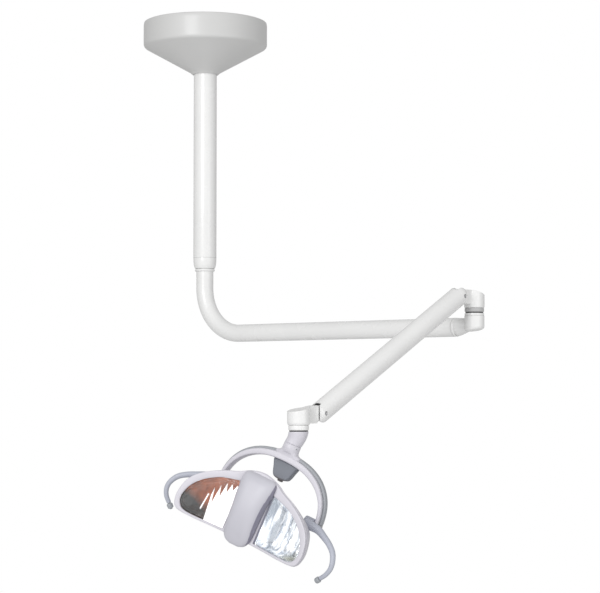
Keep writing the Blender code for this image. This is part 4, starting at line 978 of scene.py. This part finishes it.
def mirror_material(name, side):
    """Bright fluted reflector.  On the left, painted reflection lies white and glowing in pointed teeth on the
    lamp side; beyond them the glass film is tinted.  On the right, painted reflection streaks carry a glowing
    painted highlight.
    """
    mat, tree, shader = new_material(name)
    coords = object_coords(tree)
    split = tree.nodes.new("ShaderNodeSeparateXYZ")
    link(tree, coords, split.inputs[0])
    x, z = split.outputs["X"], split.outputs["Z"]
    calc = partial(math_node, tree)
    depth = calc("MULTIPLY", calc("ADD", split.outputs["Y"], 0.045), 0.45)
    reach = calc("ABSOLUTE", calc("ADD", x, depth))
    column = calc("DIVIDE", calc("SUBTRACT", reach, TOOTH_START), TOOTH)
    inside = calc("SUBTRACT", column, calc("FLOOR", column))
    ridge = calc("ABSOLUTE", calc("SUBTRACT", inside, 0.5))
    if side == "left":
        beyond = calc("MAXIMUM", calc("SUBTRACT", reach, 0.084), 0.0)
        crest = calc("ADD", calc("MULTIPLY", reach, -0.15), 0.0195)
        crest = calc("SUBTRACT", crest, calc("MULTIPLY", beyond, 0.75))
        outer = calc("MAXIMUM", calc("SUBTRACT", reach, 0.068), 0.0)
        cleft = calc("ADD", calc("MULTIPLY", outer, 1.5), 0.030)
        tooth = calc("SUBTRACT", crest, calc("MULTIPLY", ridge, cleft))
        # painted reflection: under the pointed teeth, near the lamp and in a slanted strip, the mirror is painted
        # near-white
        below = remap(tree, calc("SUBTRACT", z, tooth), 1.0, 0.0, -0.0006, 0.0006)
        edge = calc("ADD", calc("MULTIPLY", z, 0.10), 0.1125)
        near = remap(tree, calc("SUBTRACT", reach, edge), 1.0, 0.0, -0.0006, 0.0006)
        painted_glare = calc("MULTIPLY", below, near)
        slanted = calc("ADD", calc("MULTIPLY", z, 0.14), reach)
        strip = calc("MULTIPLY", calc("COMPARE", slanted, 0.1110, 0.0016),
                calc("COMPARE", z, -0.0500, 0.0180))
        painted_glare = calc("MAXIMUM", painted_glare, strip)
        tint = noise(tree, coords, 34.0, 3.0, stretch=(1.6, 1.0, 0.5))
        warm = blend_colours(tree, remap(tree, tint, 0.0, 1.0), (0.45, 0.115, 0.030), (0.25, 0.070, 0.025))
        smoky = remap(tree, calc("SUBTRACT", z, calc("MULTIPLY", reach, 0.44)), 1.0, 0.0, -0.120, -0.100)
        film = blend_colours(tree, smoky, warm, (0.020, 0.019, 0.016))
        colour = blend_colours(tree, painted_glare, film, (0.97, 0.975, 0.98))
        # the painted reflection also emits light, though the reflector is no lamp
        link(tree, calc("MULTIPLY", painted_glare, 0.55), shader.inputs["Emission Strength"])
        shader.inputs["Emission Color"].default_value = (1.0, 1.0, 1.0, 1.0)
        shader.inputs["Specular IOR Level"].default_value = 0.3
    else:
        # painted reflection: streaks run the silver from grey-blue to white, and round a centre they also emit
        # light as a painted highlight; the dull spot emits none
        streak = noise(tree, coords, 60.0, 3.0, stretch=(1.8, 1.0, 0.22))
        painted_streaks = remap(tree, streak, 0.0, 1.0, 0.42, 0.60)
        silver = blend_colours(tree, painted_streaks, (0.58, 0.62, 0.68), (0.98, 0.99, 1.0))
        olive = remap(tree, distance_from(tree, coords, OLIVE_SPOT), 1.0, 0.0, 0.010, 0.026)
        painted_halo = remap(tree, distance_from(tree, coords, PAINTED_HALO_CENTRE), 1.0, 0.15, 0.018, 0.055)
        colour = blend_colours(tree, olive, silver, (0.30, 0.30, 0.22))
        level = calc("MULTIPLY", calc("MULTIPLY", painted_halo, painted_streaks), calc("SUBTRACT", 1.0, olive))
        link(tree, calc("MULTIPLY", level, 0.85), shader.inputs["Emission Strength"])
        shader.inputs["Emission Color"].default_value = (0.95, 0.97, 1.0, 1.0)
        shader.inputs["Metallic"].default_value = 0.75
    link(tree, colour, shader.inputs["Base Color"])
    link(tree, remap(tree, noise(tree, coords, 120.0), 0.14, 0.24), shader.inputs["Roughness"])
    return mat


def make_reflector(side, sign):
    """A dish of upright convex flutes, broken into slanted facets, behind one lobe's opening."""
    sub, rows = 8, 40
    stop = LOBE_START + FLUTES * FLUTE
    xs = np.linspace(LOBE_START - 0.0014, min(stop, 0.1478), FLUTES * sub + 1)
    bm = bmesh.new()
    grid = []
    for x in xs:
        low, high = opening_span(x)
        column = (x - LOBE_START) / FLUTE
        flute = 4 * (column % 1.0) * (1 - column % 1.0)
        across = min(1.0, max(-1.0, (x - 0.094) / 0.0535))
        line = []
        for k in range(rows + 1):
            up = 2 * k / rows - 1
            z = low + (high - low) * k / rows
            bowl = max(0.0, 1 - across ** 4) ** 0.5 * max(0.0, 1 - up ** 4) ** 0.5
            facet = abs(((z + 0.1) / 0.017 + 0.5 * int(column)) % 1.0 - 0.5)
            y = FRONT_Y + 0.0012 + bowl * (DISH - 0.0022 * flute - 0.0016 * facet)
            line.append(bm.verts.new((sign * x, y, z)))
        grid.append(line)
    for a, b in zip(grid, grid[1:]):
        for k in range(rows):
            bm.faces.new((a[k], a[k + 1], b[k + 1], b[k]))
    mesh = to_mesh(bm)
    dish = piece(f"{side}_mirror", lean(mesh, planes=False), HEAD, "head",
            mirror_material(f"{side}_mirror_metal", side), "mirror_metal", f"{side}_reflector", smooth=24)
    wall = dish.modifiers.new("wall", "SOLIDIFY")
    wall.thickness = 0.0008
    wall.offset = 1.0


def make_shield(side, sign):
    loop = [tuple(p) for p in opening_curve(sign, 0.0022)]
    mesh = plate([loop], 0.0022, 0.0004, 1, move(0, FRONT_Y - BEZEL_THICK / 2, 0) @ FACING_Y)
    piece(f"{side}_window", lean(mesh), HEAD, "head", SHIELD, "clear_polycarbonate", f"{side}_shield",
            smooth=40)


def make_cover():
    """The bulb cover: a tall arched strap from just under the rim to a rounded foot; its flanks are painted shade
    in a darker plastic.
    """
    back = FRONT_Y - BEZEL_THICK - GAP
    stations = spline([(0.0570, 0.0290, -0.0885), (0.0535, 0.0350, -0.0945), (0.0470, 0.0385, -0.1000),
            (0.0350, 0.0395, -0.1050), (0.0100, 0.0375, -0.1105), (-0.0150, 0.0350, -0.1130),
            (-0.0400, 0.0340, -0.1120), (-0.0620, 0.0335, -0.1080), (-0.0800, 0.0310, -0.1020),
            (-0.0930, 0.0235, -0.0960), (-0.0985, 0.0120, -0.0915)], 6)
    arch = [(math.copysign(abs(math.cos(a)) ** 0.62, math.cos(a)), math.sin(a) ** 0.66)
            for a in np.linspace(math.pi, 0, 49)]
    rings = [[(half * c, back + (front - back) * s, z) for c, s in arch] for z, half, front in stations]
    bm = bmesh.new()
    rows = [[bm.verts.new(p) for p in ring] for ring in rings]
    for a, b in zip(rows, rows[1:]):
        for i in range(len(a) - 1):
            bm.faces.new((a[i], b[i], b[i + 1], a[i + 1]))
    bm.faces.new(rows[0])
    bm.faces.new(rows[-1])
    cover = piece("lamp_cover", to_mesh(bm), HEAD, "head", COVER_PLASTIC, "head_plastic", "bulb_cover",
            smooth=60)
    cover.data.materials.append(FLANK_SHADE_PLASTIC)
    # faces turned sideways take the darker copy: painted shade on the flanks
    for poly in cover.data.polygons:
        if abs(poly.normal.x) > 0.80:
            poly.material_index = 1
    wall = cover.modifiers.new("wall", "SOLIDIFY")
    wall.thickness = 0.0018
    wall.offset = -1.0
    # dark plates where the flanks run back into the head: painted shade
    for side, sign in (("left", -1), ("right", 1)):
        plate_mesh = to_mesh(box_bmesh((0.0372, FRONT_Y - BEZEL_THICK + 0.0004, -0.0790),
                (0.0388, FRONT_Y + 0.030, 0.0275), 0.0006))
        plate_mesh.transform(Matrix.Scale(sign, 4, (1, 0, 0)))
        if sign < 0:
            plate_mesh.flip_normals()
        piece(f"{side}_inner_flank", plate_mesh, HEAD, "head", FLANK_SHADE_PLASTIC, "head_plastic", "front_bezel",
                smooth=40)


def make_handle(side, sign):
    knots = [(0.1060, -0.0280, -0.0010, 0.0125, 0.0098), (0.1210, -0.0300, 0.0000, 0.0105, 0.0090),
            (0.1410, -0.0325, -0.0013, 0.0086, 0.0080), (0.1620, -0.0390, -0.0085, 0.0071, 0.0069),
            (0.1800, -0.0450, -0.0165, 0.0064, 0.0063), (0.1960, -0.0510, -0.0285, 0.0060, 0.0060),
            (0.2050, -0.0550, -0.0450, 0.0056, 0.0055), (0.2065, -0.0555, -0.0600, 0.0053, 0.0052),
            (0.2013, -0.0535, -0.0746, 0.0050, 0.0050), (0.1915, -0.0480, -0.0870, 0.0048, 0.0048)]
    points = spline(knots, 8)
    path = [Vector((sign * p[0], p[1], p[2])) for p in points]
    bar = sweep(path, [(p[4], p[3]) for p in points], Vector((0, 1, 0)), 2.2, 36)
    boss = revolve(rounded([(0, 0.0113, 0), (0.0125, 0.0113, 0.001), (0.0125, -0.0113, 0.001),
            (0, -0.0113, 0)]), 48)
    web = box_bmesh((sign * 0.1074 - 0.0040, -0.0320, -0.0080), (sign * 0.1074 + 0.0040, -0.0020, 0.0080),
            0.002)
    mesh = merged([(bar, ROOT), (boss, move(sign * 0.1038, 0, 0) @ ALONG_X), (web, ROOT)], 0.0008, 4)
    piece(f"{side}_grip", mesh, HEAD, "head", HANDLE_PLASTIC, "handle_plastic", f"{side}_handle", smooth=60)
    tip = revolve(rounded([(0, 0.0068, 0), (0.0030, 0.0068, 0.0008), (0.0034, 0.0048, 0.0004),
            (0.0062, 0.0042, 0.0014), (0.0067, -0.0034, 0.0018), (0.0046, -0.0064, 0.0010),
            (0, -0.0064, 0)]), 48)
    at = Vector((sign * 0.1870, -0.0455, -0.0927))
    along = (path[-1] - path[-4]).normalized()
    piece(f"{side}_grip_end", to_mesh(tip), HEAD @ basis(at, Vector((0, 1, 0)).cross(along), along), "head",
          GREY_PLASTIC, "grey_plastic", f"{side}_handle_tip", smooth=50)


def make_lamp():
    turned_piece("bulb", [(0, 0.0115, 0), (0.0052, 0.0115, 0.0008), (0.0058, 0.0080, 0.002),
            (0.0060, -0.0080, 0.004), (0.0048, -0.0140, 0.003), (0.0020, -0.0172, 0.001), (0, -0.0175, 0)],
            HEAD @ move(0, FRONT_Y + 0.0005, 0), "head", BULB_GLASS, "clear_polycarbonate", "halogen_bulb",
            steps=48)
    turned_piece("bulb_holder", [(0, 0.0300, 0), (0.0085, 0.0300, 0.0008), (0.0085, 0.0120, 0.0005),
            (0.0, 0.0120, 0)], HEAD @ move(0, FRONT_Y + 0.0005, 0), "head", CERAMIC, "white_ceramic",
            "lamp_socket", steps=48)


# ---------------------------------------------------------------- stage
FLOOR_RADIUS, FLOOR_DROP = 3.2, 0.95      # the floor lies this far under the light
CAMERA_PLACE, CAMERA_TILT, CAMERA_LENS = (0.2489, -5.091, -0.979), 92.9, 117.0


def make_stage():
    low, high = CAD_BOX
    centre = (low + high) / 2
    bpy.ops.mesh.primitive_circle_add(vertices=128, radius=FLOOR_RADIUS, fill_type="NGON",
            location=(centre.x, centre.y, low.z - FLOOR_DROP))
    floor = bpy.context.object
    floor.name = "studio_floor"
    mat, tree, shader = new_material("pale_floor")
    grain = noise(tree, object_coords(tree), 3.0, 3.0)
    link(tree, blend_colours(tree, remap(tree, grain, 0.0, 1.0), (0.84, 0.84, 0.84), (0.855, 0.855, 0.855)),
         shader.inputs["Base Color"])
    shader.inputs["Roughness"].default_value = 0.8
    floor.data.materials.append(mat)


def make_world():
    """Pale surroundings: brightest ahead of and above the light, greyer at the sides and behind."""
    world = bpy.data.worlds.new("studio")
    SCENE.world = world
    world.use_nodes = True
    tree = world.node_tree
    back = tree.nodes["Background"]
    direction = tree.nodes.new("ShaderNodeTexCoord").outputs["Generated"]
    split = tree.nodes.new("ShaderNodeSeparateXYZ")
    link(tree, direction, split.inputs[0])
    calc = partial(math_node, tree)
    front = calc("POWER", calc("MAXIMUM", calc("MULTIPLY", split.outputs["Y"], -1.0), 0.0), 1.6)
    above = calc("MAXIMUM", split.outputs["Z"], 0.0)
    level = calc("ADD", calc("MULTIPLY", front, 0.78), 0.27)
    level = calc("ADD", level, calc("MULTIPLY", above, 0.16))
    under = calc("MAXIMUM", calc("MULTIPLY", split.outputs["Z"], -1.0), 0.0)
    level = calc("ADD", level, calc("MULTIPLY", under, 0.22))
    behind = calc("MAXIMUM", split.outputs["Y"], 0.0)
    level = calc("ADD", level, calc("MULTIPLY", behind, 0.28))
    seen = tree.nodes.new("ShaderNodeLightPath").outputs["Is Camera Ray"]
    level = calc("ADD", calc("MULTIPLY", level, calc("SUBTRACT", 1.0, seen)), seen)
    back.inputs["Color"].default_value = (1.0, 1.0, 1.0, 1.0)
    link(tree, level, back.inputs["Strength"])


def area_light(name, place, target, size, watts):
    data = bpy.data.lights.new(name, "AREA")
    data.shape = "SQUARE"
    data.size = size
    data.energy = watts
    obj = bpy.data.objects.new(name, data)
    SCENE.collection.objects.link(obj)
    obj.location = place
    obj.rotation_mode = "QUATERNION"
    obj.rotation_quaternion = (Vector(target) - Vector(place)).to_track_quat("-Z", "Y")


def make_lights():
    middle = (CAD_BOX[0] + CAD_BOX[1]) / 2
    area_light("key", (-1.5, -3.6, 0.3), middle, 1.6, 46.0)
    area_light("fill", (2.6, -2.6, -0.9), middle, 1.6, 10.0)


def make_camera():
    data = bpy.data.cameras.new("camera")
    data.lens = CAMERA_LENS
    data.sensor_width = 36.0
    data.clip_end = 60.0
    camera = bpy.data.objects.new("camera", data)
    SCENE.collection.objects.link(camera)
    camera.location = CAMERA_PLACE
    camera.rotation_euler = (math.radians(CAMERA_TILT), 0.0, 0.0)
    SCENE.camera = camera
    SCENE.view_settings.view_transform = "Standard"


make_camera()
make_canopy()
make_ceiling_plate()
make_post()
make_rigid_arm()
make_elbow()
make_spring_arm()
make_lower_knuckle()
make_neck()
make_hub()
make_yoke()
make_bezel()
make_shell()
for side_name, side_sign in (("left", -1), ("right", 1)):
    make_reflector(side_name, side_sign)
    make_shield(side_name, side_sign)
    make_handle(side_name, side_sign)
make_cover()
make_lamp()
for row in frame["record"]["subparts"]:
    node = NODES[row["node"]]
    if not node.hide_render:
        node.data.materials.clear()
        node.data.materials.append(SLOT_MATERIALS[row["material_slot"]])
make_stage()
make_world()
make_lights()
